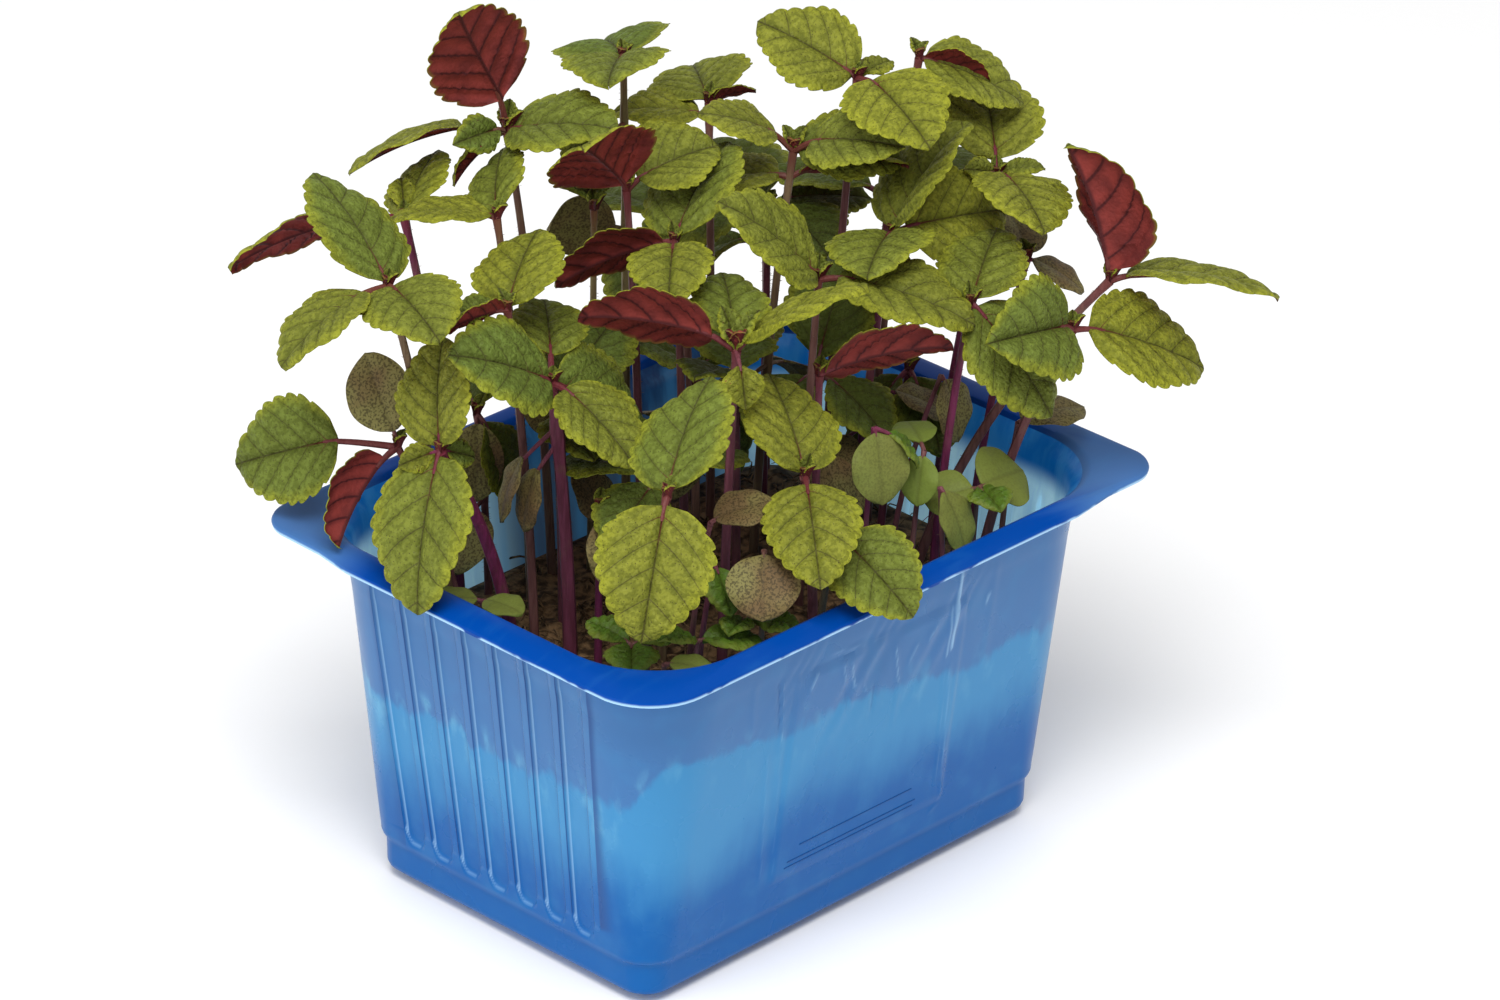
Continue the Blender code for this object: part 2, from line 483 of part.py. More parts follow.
def stem_solid(root, crown, radius):
    """A tapering stem from its hole in the medium up to its crown."""
    line = [Vector((root[0], root[1], MEDIUM_TOP - ROOT_DEPTH))]
    line += [stem_point(root, crown, k / STEM_STEPS) for k in range(STEM_STEPS + 1)]
    radii = [radius] + [radius * (1 - (1 - STEM_TAPER) * k / STEM_STEPS) for k in range(STEM_STEPS + 1)]
    return tube(line, radii, STEM_SIDES)


def blade_axes(heading, pitch, roll):
    """Unit vectors along a blade, to its left and out of its upper face."""
    heading, pitch, roll = math.radians(heading), math.radians(pitch), math.radians(roll)
    along = Vector((math.cos(pitch) * math.cos(heading), math.cos(pitch) * math.sin(heading),
                    math.sin(pitch)))
    level = Vector((-math.sin(heading), math.cos(heading), 0.0))
    upper = along.cross(level)
    left = level * math.cos(roll) + upper * math.sin(roll)
    return along, left, upper * math.cos(roll) - level * math.sin(roll)


def blade_point(base, axes, leaf, share, across):
    """A point of the blade's middle surface: share runs base to tip, across runs edge to edge."""
    kind, _, _, _, _, length, width, _, fold = leaf
    along, left, upper = axes
    bend = DROOP * share
    x = length * math.sin(bend) / DROOP
    z = -length * (1 - math.cos(bend)) / DROOP
    first, second = OUTLINE[kind]
    y = across * width / 2 * max(0.0, math.sin(math.pi * share ** first)) ** second
    rise = math.tan(math.radians(fold)) * (abs(y) - FOLD_EASE * y * y / width)
    x += math.sin(bend) * rise
    z += math.cos(bend) * rise
    normal = upper * math.cos(bend) + along * math.sin(bend)
    return base + along * x + left * y + upper * z, normal


def leaf_solid(start, leaf, thickness):
    """One petiole and toothed blade as a closed solid, with its upper and lower faces alike."""
    kind, _, heading, pitch, roll, _, _, petiole, _ = leaf
    axes = blade_axes(heading, pitch, roll)
    rise = blade_axes(heading, min(pitch + PETIOLE_RISE, PETIOLE_STEEPEST), 0.0)[0]
    base = start + rise * petiole
    half = thickness / 2
    points = []

    def both(point, normal):
        points.append(point + normal * half)
        points.append(point - normal * half)
        return len(points) - 2

    _, left, upper = axes
    root_l = both(start + left * PETIOLE_HALF, upper)
    root_r = both(start - left * PETIOLE_HALF, upper)
    base_l = both(base + left * PETIOLE_HALF, upper)
    base_r = both(base - left * PETIOLE_HALF, upper)
    ribs = [both(*blade_point(base, axes, leaf, share, 0.0)) for share in MIDRIB]
    tip = both(*blade_point(base, axes, leaf, 1.0, 0.0))
    sides = []
    for turn in (1, -1):
        sides.append([both(*blade_point(base, axes, leaf, share, turn * reach))
                      for share, reach in MARGIN[kind]])
    upper_faces = [(root_l, root_r, base_r, base_l), (base_l, base_r, ribs[0])]
    split = sum(1 for share, _ in MARGIN[kind] if share < MIDRIB_SPLIT)
    for edge, first, flip in ((sides[0], base_l, False), (sides[1], base_r, True)):
        fan = [(ribs[0], a, b) for a, b in zip([first] + edge[:split - 1], edge[:split])]
        fan.append((ribs[0], edge[split - 1], ribs[1]))
        fan += [(ribs[1], a, b) for a, b in zip(edge[split - 1:], edge[split:] + [tip])]
        upper_faces += [face[::-1] if flip else face for face in fan]
    faces = list(upper_faces)
    faces += [tuple(index + 1 for index in face[::-1]) for face in upper_faces]
    outline = [root_l, base_l] + sides[0] + [tip] + sides[1][::-1] + [base_r, root_r]
    for first, second in zip(outline, outline[1:] + outline[:1]):
        faces.append((first, second, second + 1, first + 1))
    return points, faces


def tree_of(points, faces):
    """A shape's lowest and highest corners with a tree of its faces."""
    low = Vector([min(p[axis] for p in points) for axis in range(3)])
    high = Vector([max(p[axis] for p in points) for axis in range(3)])
    return low, high, BVHTree.FromPolygons([Vector(p) for p in points], faces)


def crosses(trial, placed, own):
    """Whether a shape meets another plant or the punnet, or dips to the growing medium."""
    low, high, tree = trial
    for name, (other_low, other_high, other) in placed:
        if name != own and all(low[k] < other_high[k] and high[k] > other_low[k] for k in range(3)):
            if tree.overlap(other):
                return True
    return low.z < MEDIUM_TOP + COLLAR


def settle(name, start, leaf, placed):
    """Turn a leaf by the smallest trial step that hangs it clear of every other plant."""
    for turn, lift in TRIALS:
        tried = leaf[:2] + (leaf[2] + turn, leaf[3] + lift) + leaf[4:]
        if not crosses(tree_of(*leaf_solid(start, tried, BLADE + 2 * CLEARANCE)), placed, name):
            return tried
    return leaf


def build_plants(tub):
    """Every plant, its leaves joined to its stem."""
    corners = [tuple(c / MM for c in v.co) for v in tub.data.vertices]
    placed = [("tub", tree_of(corners, [tuple(p.vertices) for p in tub.data.polygons]))]
    stems = {}
    for name, root, crown, radius, leaves in PLANTS:
        stems[name] = stem_solid(root, crown, radius)
        placed.append((name, tree_of(*stems[name])))
    for name, root, crown, radius, leaves in PLANTS:
        green = plain_material(name + "_leaf", (0.2, 0.3, 0.05), 0.6)
        stem = solid(name, *stems[name], green)
        blades = []
        for leaf in leaves:
            start = stem_point(root, crown, leaf[1])
            settled = settle(name, start, leaf, placed)
            points, faces = leaf_solid(start, settled, BLADE)
            placed.append((name, tree_of(points, faces)))
            blades.append(solid("blade", points, faces, green))
        combine(stem, blades, "UNION")


clear_scene()
punnet = build_tub()
build_plants(punnet)
build_medium([(root, radius) for _, root, _, radius, _ in PLANTS])
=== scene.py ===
"""Shiso cress in a blue plastic punnet: leaves, stems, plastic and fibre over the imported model."""

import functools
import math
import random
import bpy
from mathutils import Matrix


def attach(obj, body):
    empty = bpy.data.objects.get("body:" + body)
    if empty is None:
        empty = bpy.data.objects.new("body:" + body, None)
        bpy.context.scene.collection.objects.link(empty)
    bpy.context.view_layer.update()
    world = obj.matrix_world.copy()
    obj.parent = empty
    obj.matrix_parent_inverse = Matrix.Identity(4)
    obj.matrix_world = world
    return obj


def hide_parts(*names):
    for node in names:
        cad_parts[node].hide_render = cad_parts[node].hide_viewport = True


bl_info = {
    "name": "Potted Shiso",
    "version": (1, 0, 0),
    "blender": (4, 5, 0),
    "location": "3D View > Sidebar > Shiso",
    "description": "Dresses the shiso punnet with toothed leaves, stems, moulded plastic and fibre",
    "category": "Add Mesh",
}

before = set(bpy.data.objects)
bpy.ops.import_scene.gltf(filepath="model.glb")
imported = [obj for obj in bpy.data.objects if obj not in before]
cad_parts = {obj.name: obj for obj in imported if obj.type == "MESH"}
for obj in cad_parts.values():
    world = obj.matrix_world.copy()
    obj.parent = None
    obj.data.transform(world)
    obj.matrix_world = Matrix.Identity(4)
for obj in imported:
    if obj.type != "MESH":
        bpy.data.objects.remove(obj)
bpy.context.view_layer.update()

import bpy
import numpy as np
from bpy.props import FloatProperty, FloatVectorProperty, IntProperty, PointerProperty
from mathutils import Matrix, Vector
from mathutils.bvhtree import BVHTree

MM = 0.001

# Punnet rings: half length, half width, corner radius at the ears and at the other two corners,
# height, half reach of the fluted span, flute depth share, lip drop share. Millimetres.
OUTER = (
    (50.0, 33.4, 4.8, 4.8, 2.00, 25.0, 0, 0), (50.8, 34.2, 5.3, 5.3, 2.20, 25.0, 0, 0),
    (51.1, 34.5, 5.6, 5.6, 2.90, 25.0, 0, 0), (51.3, 34.7, 6.0, 6.0, 7.70, 25.0, 0, 0),
    (51.5, 34.9, 6.2, 6.2, 8.40, 25.0, 0, 0), (52.1, 35.5, 6.9, 6.9, 8.90, 25.0, 0, 0),
    (52.3, 35.7, 7.0, 7.0, 9.60, 25.0, 1, 0), (52.4, 35.8, 7.2, 7.2, 10.6, 25.0, 1, 0),
    (52.9, 36.3, 7.9, 7.9, 14.6, 25.0, 1, 0), (58.3, 41.7, 15.8, 15.8, 58.6, 27.0, 1, 0),
    (58.5, 41.9, 16.0, 16.0, 60.0, 27.0, 1, 0), (58.8, 42.2, 16.5, 16.5, 61.6, 27.0, 0.9, 0),
    (59.4, 42.8, 18.0, 18.0, 67.0, 27.0, 0.6, 0),
    (59.9, 43.5, 18.6, 18.6, 69.2, 27.0, 0, 0), (60.7, 44.7, 19.3, 19.3, 70.5, 27.0, 0, 0),
    (61.9, 46.2, 19.9, 19.9, 71.1, 27.0, 0, 0), (64.6, 48.0, 11.0, 14.0, 71.1, 30.0, 0, 0.6),
    (65.4, 48.6, 7.8, 11.8, 71.0, 32.0, 0, 1),
    (65.8, 48.9, 8.0, 12.0, 70.6, 32.0, 0, 1), (66.1, 49.2, 8.2, 12.2, 70.8, 32.0, 0, 1),
    (66.2, 49.3, 8.2, 12.2, 71.4, 32.0, 0, 1), (66.0, 49.1, 8.0, 12.0, 71.8, 32.0, 0, 1),
    (65.5, 48.7, 7.8, 11.8, 72.0, 32.0, 0, 1), (64.4, 48.0, 11.0, 14.0, 72.0, 30.0, 0, 0.6),
)
INNER = (
    (61.6, 45.8, 19.6, 19.6, 72.0, 27.0, 0, 0), (60.9, 45.2, 19.0, 19.0, 71.8, 27.0, 0, 0),
    (60.2, 44.3, 18.6, 18.6, 71.0, 27.0, 0, 0), (58.9, 42.3, 17.7, 17.7, 68.6, 27.0, 0, 0),
    (58.5, 41.9, 17.4, 17.4, 67.0, 27.0, 0, 0), (57.9, 41.3, 16.2, 16.2, 61.6, 27.0, 0, 0),
    (57.6, 41.0, 15.4, 15.4, 58.6, 27.0, 1, 0), (51.5, 34.9, 6.3, 6.3, 10.6, 25.0, 1, 0),
    (50.4, 33.8, 5.2, 5.2, 8.2, 25.0, 0, 0), (49.9, 33.3, 4.9, 4.9, 3.2, 25.0, 0, 0),
)
EAR_CORNERS = ((1, -1), (-1, 1))
FLANGE_X, FLANGE_Y = 66.0, 49.1
# How far from an ear's tip its satin begins, and where it is full.
EAR_FADE = (30.0, 17.0)
# How far the lip falls at its outer edge, the reach round an ear's tip that stays flat, and the blend.
LIP_DROP, EAR_FLAT, LIP_BLEND = 1.2, 16.0, 8.0
# The lip's bright lower edge and the fainter line over it: the height each ends at, and its shine.
LIP_GLINTS = ((70.9, 1.0), (71.5, 0.45))
# The heights at which the lip's finish begins and the plain wall ends.
LIP_START, WALL_TOP = 70.4, 69.0
# The rows of OUTER that make the plain wall below the rim.
WALL_ROWS = 10
FLUTES = 7
# Across one flute of the -X end, from -Y to +Y: share of its width, how far it stands back from the
# ridge, and its painted shine, from a painted shade line at -1 to a painted highlight line at 1.
FLUTE_SHAPE = ((0.0, 0.0, -1.0), (0.035, 0.0, 0.1), (0.1, 0.0, 0.2), (0.2, 0.05, 0.1), (0.26, 0.5, -0.2),
               (0.32, 0.95, -0.45), (0.37, 1.0, -0.3), (0.42, 1.0, -0.2), (0.5, 1.0, -0.05), (0.6, 1.0, 0.0),
               (0.7, 1.0, 0.0), (0.78, 1.0, 0.0), (0.84, 1.0, 0.0), (0.88, 0.98, 0.1), (0.915, 0.95, 0.25),
               (0.945, 0.9, 0.7), (0.975, 0.55, 0.35))
FLUTES_END_SHINE = -0.6
# The rounded lower end of a flute: its middle and half width as shares, its lowest height, how far its
# sides rise, the height it deepens over, and the shine of its rim left and right of a share.
FLUTE_MIDDLE, FLUTE_HALF, FLUTE_LOW, FLUTE_ROUND, FLUTE_DEEPENS = 0.62, 0.36, 9.7, 2.8, 1.7
FLUTE_RIM_TURN, FLUTE_RIM_LEFT, FLUTE_RIM_RIGHT = 0.45, 0.2, 0.5
# Lines on the -Y side: x and z of both ends, half width, how far it stands out, shine. Millimetres.
SIDE_LINES = (
    (19.2, 66.0, 18.9, 47.0, 0.5, 0.22, 0.9), (18.9, 47.0, 21.7, 14.0, 0.4, 0.2, 0.45),
    (17.8, 59.0, 17.8, 46.0, 0.4, 0.18, 0.6), (17.8, 46.0, 20.2, 15.5, 0.35, 0.16, 0.35),
    (21.7, 14.0, 19.5, 12.6, 0.4, 0.15, 0.3), (-26.6, 60.0, -24.8, 48.0, 0.5, -0.25, -0.6),
    (-25.8, 60.0, -23.9, 45.0, 0.4, 0.2, 0.5), (-27.4, 47.0, -24.6, 14.0, 0.5, 0.15, 0.35),
    (-24.2, 47.0, -21.8, 14.0, 0.5, 0.15, 0.3), (-19.0, 54.0, -16.8, 58.5, 0.5, 0.2, 0.55),
    (-10.8, 58.0, -9.0, 51.0, 0.45, 0.22, 0.5), (-9.6, 53.0, -7.6, 45.5, 0.45, -0.2, -0.35),
    (-8.5, 57.0, -6.2, 49.5, 0.45, 0.2, 0.6), (-4.5, 51.2, -2.6, 47.4, 0.4, 0.18, 0.5),
    (-1.3, 50.0, -1.0, 42.8, 0.45, -0.18, -0.45), (3.0, 56.0, 5.4, 46.0, 0.4, 0.2, 0.6),
    (5.4, 46.0, 5.5, 37.5, 0.4, 0.15, 0.35), (7.0, 49.5, 9.4, 54.0, 0.45, 0.2, 0.5),
    (11.5, 53.0, 14.0, 55.5, 0.6, 0.2, 0.45), (26.9, 54.0, 27.9, 57.6, 0.5, 0.15, 0.6),
    (-15.0, 60.5, -4.0, 58.6, 0.45, 0.2, 0.4), (-4.0, 58.6, 6.0, 59.0, 0.4, 0.15, 0.3),
    (28.8, 64.0, 29.0, 40.0, 0.9, 0.12, 0.2), (-33.0, 62.0, -31.8, 50.0, 0.7, 0.14, 0.25),
)
# The share of a line that fades at each end, and the x and y that hold the flat of a long side.
LINE_FADE, SIDE_REACH, SIDE_FROM = 0.12, 36.0, 30.0
# Thin raised dark bars low on each long side: x and z of both ends, and a bar's section, up and out.
SIDE_BARS = ((-15.8, 21.0, 13.2, 20.8), (-18.6, 18.3, 14.6, 17.9), (-19.2, 17.2, 14.0, 16.9))
BAR_HALF, BAR_PROUD = 0.14, 0.12
BAR_SECTION = ((-1, -0.5), (-0.4, 1.0), (0.4, 1.0), (1, -0.5))
# Steps round a corner, along a side, up the wall, up its lower part, and where that part ends.
CORNER_STEPS, SIDE_STEPS, WALL_STEPS, FINE_STEPS, FINE_TOP = 12, 150, 1.1, 0.45, 16.0
# Side panels: half length, lowest and highest point, how far they stand out, half width of the edge.
PANEL_HALF, PANEL_LOW, PANEL_HIGH, PANEL_PROUD, PANEL_EDGE = 22.0, 15.0, 58.0, 0.4, 0.5
# Where the soft wrinkles of a side come in from below, fade above and fade towards the corners.
WRINKLE_LOW, WRINKLE_HIGH, WRINKLE_REACH = (36.0, 54.0), (69.0, 60.0), (33.0, 20.0)
# The foot: half length, half width, its top inside the shell, corner radius, steps round a corner.
FOOT_X, FOOT_Y, FOOT_TOP, FOOT_CORNER, FOOT_ARC = 48.5, 22.0, 2.5, 1.5, 6
# The foot's rounded lower edge: heights and how far each stands in.
FOOT_EDGE = ((0.0, 1.0), (0.08, 0.55), (0.35, 0.2), (0.7, 0.0), (FOOT_TOP, 0.0))

# Growing medium: its top, and the rings up its sides, each with its half length, half width, corner
# radius and height.
MEDIUM_TOP = 47.0
MEDIUM_RINGS = ((47.9, 31.3, 4.5, 3.7), (49.6, 33.0, 5.5, 9.9), (54.8, 38.2, 12.5, 46.2))
# Rings over its top, steps round a corner and steps along a side.
MEDIUM_RIMS, MEDIUM_ARC, MEDIUM_SIDE = 26, 8, 20
# Loose fibres: points on each, how far they keep from the edge, and how high they lie.
FIBRE_POINTS, FIBRE_INSET, FIBRE_LIFT = 6, 4.0, 0.2

# Stems and leaves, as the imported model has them.
STEM_STEPS = 3
STEM_SIDES = 5
STEM_TAPER = 0.72
# Where a stem's bend lies between foot and crown: its share of the way across and of the way up.
STEM_BEND_OUT, STEM_BEND_UP = 0.25, 0.55
# Stems stand upright to this height over the medium, and leaves stay above it.
COLLAR = 1.0
ROOT_DEPTH = 9.0
PETIOLE_RISE, PETIOLE_STEEPEST = 20.0, 80.0
PETIOLE_HALF = 0.55
BLADE = 0.7
CLEARANCE = 0.35
DROOP = math.radians(25.0)
# How much the fold flattens out towards the edge.
FOLD_EASE = 0.9
# Outline powers of a true leaf, a young leaf and a seed leaf.
OUTLINE = {"leaf": (0.64, 0.68), "young": (0.78, 0.9), "seed": (0.9, 0.6)}
# Stations along the blade and how far each margin tooth or notch stands from the plain outline.
MARGIN = {
    "leaf": ((0.06, 1.0), (0.22, 1.1), (0.4, 0.93), (0.58, 1.1), (0.8, 1.16)),
    "young": ((0.1, 1.0), (0.35, 1.08), (0.55, 0.92), (0.78, 1.1)),
    "seed": ((0.08, 1.0), (0.3, 1.0), (0.55, 1.0), (0.8, 1.0), (0.95, 1.0)),
}
# Two points of the midrib, and the share up to which margin stations fan out from the first.
MIDRIB, MIDRIB_SPLIT = (0.27, 0.6), 0.535
# Small turns, in degrees, tried in this order until a blade hangs clear of its neighbours.
TRIALS = [(0, 0)] + [(step * a, step * b) for step in (6, 12, 18, 26, 34, 44, 56, 70)
                     for a, b in ((0, -1), (0, 1), (1, 0), (-1, 0), (1, -1), (-1, -1), (1, 1), (-1, 1))]

# Fine blades: points across a half blade, rows to a tooth, rows of a toothless blade, the lengths
# under which a blade has fewer points across and fewer rows, and the power that crowds its rows.
ACROSS = (0.0, 0.035, 0.09, 0.2, 0.34, 0.48, 0.62, 0.74, 0.84, 0.92, 0.97, 1.0)
TOOTH_ROWS, TINY_TOOTH_ROWS, PLAIN_ROWS = 6, 4, 24
SMALL_LEAF, TINY_LEAF, ROW_SHIFT = 15, 12, 0.94
# The length at which a leaf has full teeth, and the most they grow past it.
FULL_LEAF, MOST_GROWN = 22.0, 1.15
# Seed leaves: quilting in millimetres and share of the thickness. Small young leaves: teeth, and
# shares of the quilting and the thickness.
SEED_QUILTING, SEED_SHEET = 0.12, 1.2
YOUNG_TEETH, YOUNG_QUILTING, YOUNG_SHEET = 6, 1.5, 0.9
# Teeth: share of each that rises, how round its two sides are, its mean height and lean to the tip.
TOOTH_RISE, TOOTH_ROUND, TOOTH_DROP, TOOTH_MEAN, TOOTH_LEAN = 0.72, 0.8, 0.6, 0.55, 0.03
# How much fuller a toothed blade is than the plain one, in its middle and at its tip, and the least
# half width at the tip.
PLUMP, PLUMP_TIP, TIP_HALF = 0.06, 0.05, 0.05
# Veins: slant, arch, pairs of side veins, how they crowd to the tip and where the first starts.
VEIN_LEAN, VEIN_ARCH, VEIN_PAIRS, VEIN_CROWD, VEIN_START = 0.62, 0.8, 5.2, 0.75, 0.03
# Half width of the midrib's groove in millimetres and of a side vein in phase, and the quilting at
# which both have their full depth.
GROOVE_HALF, RIDGE_HALF, FULL_QUILTING = 0.45, 0.07, 0.5
# How deep the midrib and the side veins sink the upper face, and how far they stand out below.
UPPER_SUNK, LOWER_PROUD = (0.22, 0.1), (0.42, 0.2)
# Margin waves and their number, the range of a blade's downward curl, its twist, and the length under
# which it waves and curls less.
WAVE, WAVES, CURL, TWIST, LONG_LEAF = 0.35, 2.4, (0.2, 1.0), 0.03, 20.0
# How much thinner a blade is at its margin.
MARGIN_THINS = 0.55

# Fine stems: steps, sides, how square they are, and how much shorter the root is than the solid's.
FINE_STEM_STEPS, FINE_STEM_SIDES, STEM_LOBES, ROOT_SHORT = 22, 12, 0.07, 0.5
# A stem over this radius is a tall one, with a bud, a blush at its top and all its hairs.
TALL_STEM = 0.7
# How much a stem swells where leaves part from it and over what share, how much thicker it is than
# the solid, and how red its top is.
JOINT_SWELL, JOINT_REACH, STEM_GROWN, STEM_BLUSH = 0.28, 0.03, 1.02, 0.65
# Petioles: steps, sides, the share of the blade that they run under, and how far below it.
PETIOLE_STEPS, PETIOLE_SIDES, PETIOLE_UNDER, PETIOLE_SUNK = 8, 8, 0.12, 0.25
# Half thickness of a large and a small petiole, how much thicker its foot is, and how it tapers.
PETIOLE_THICK, PETIOLE_THIN, PETIOLE_FOOT, PETIOLE_TAPER = 0.62, 0.42, 1.1, 0.45
# How red the petiole of a true leaf is, and that of any other.
PETIOLE_BLUSH, PALE_BLUSH = 0.75, 0.2
# Hairs: half thickness, colour, share of the stem's radius at which they stand, and a slanting
# direction that gives their three sides.
HAIR_HALF, HAIR_TONE, HAIR_FOOT, HAIR_ACROSS = 0.045, 0.35, 0.8, (0.3, 0.5, 0.81)
# Leaves of a bud: lengths, steepness of the first and what each adds, share of width, fold, tint.
BUD_LENGTHS = (3.6, 3.2, 2.4, 2.0)
BUD_PITCH, BUD_STEEPER, BUD_WIDTH, BUD_FOLD, BUD_TINT = 62, 5, 0.6, 35, 0.35
# The range in which each is drawn by lot: stem colour, leaf colour, colour of the leaves behind, which is
# darkened as painted shade.
STEM_TONE_RANGE, LEAF_TINTS, BACK_SHADE_TINTS = (0.45, 1.0), (0.15, 0.8), (-0.7, -0.1)
# Seed leaves over this length are brown, and smaller ones have this tone.
LARGE_SEED_LEAF, SMALL_SEED_TONE = 10, 0.3
# How purple each stem is, from green at 0; the rest are drawn by lot.
STEM_TONES = {"shiso_06": 0.85, "shiso_07": 1.0, "shiso_14": 0.15, "shiso_02": 0.3, "shiso_04": 0.3,
              "shiso_01": 0.45, "shiso_18": 0.9, "shiso_25": 0.6, "shiso_27": 0.3, "shiso_33": 0.2,
              "shiso_16": 0.3, "shiso_39": 0.1}
# Buds that are larger than the rest.
BUD_SIZES = {"shiso_11": 2.3, "shiso_16": 1.6, "shiso_01": 1.5, "shiso_19": 1.3}
# How brown the seed leaves of some plants are, from light green at 0.
SEED_TONES = {"seedling_08": 0.45, "seedling_09": 0.15, "seedling_10": 0.4, "seedling_11": 0.3}

# Camera: metres and degrees, with its lens and sensor in millimetres.
CAMERA_TARGET = (0.00433, -0.00457, 0.06994)
CAMERA_HEADING, CAMERA_LIFT, CAMERA_ROLL, CAMERA_REACH = -46.559, 27.208, 1.227, 1.2117
LENS, SENSOR = 163.34, 36.0
# Soft lights: place, the point each looks at and its size, in metres.
KEY_LIGHT = ((-0.4, -0.35, 1.0), (0, 0, 0.08), 0.6)
FILL_LIGHT = ((-1.0, 0.2, 0.5), (0, 0, 0.06), 0.7)
# Half the floor's side in metres, and how light its grain is beside its colour.
FLOOR_HALF, FLOOR_GRAIN = 4.0, 0.985

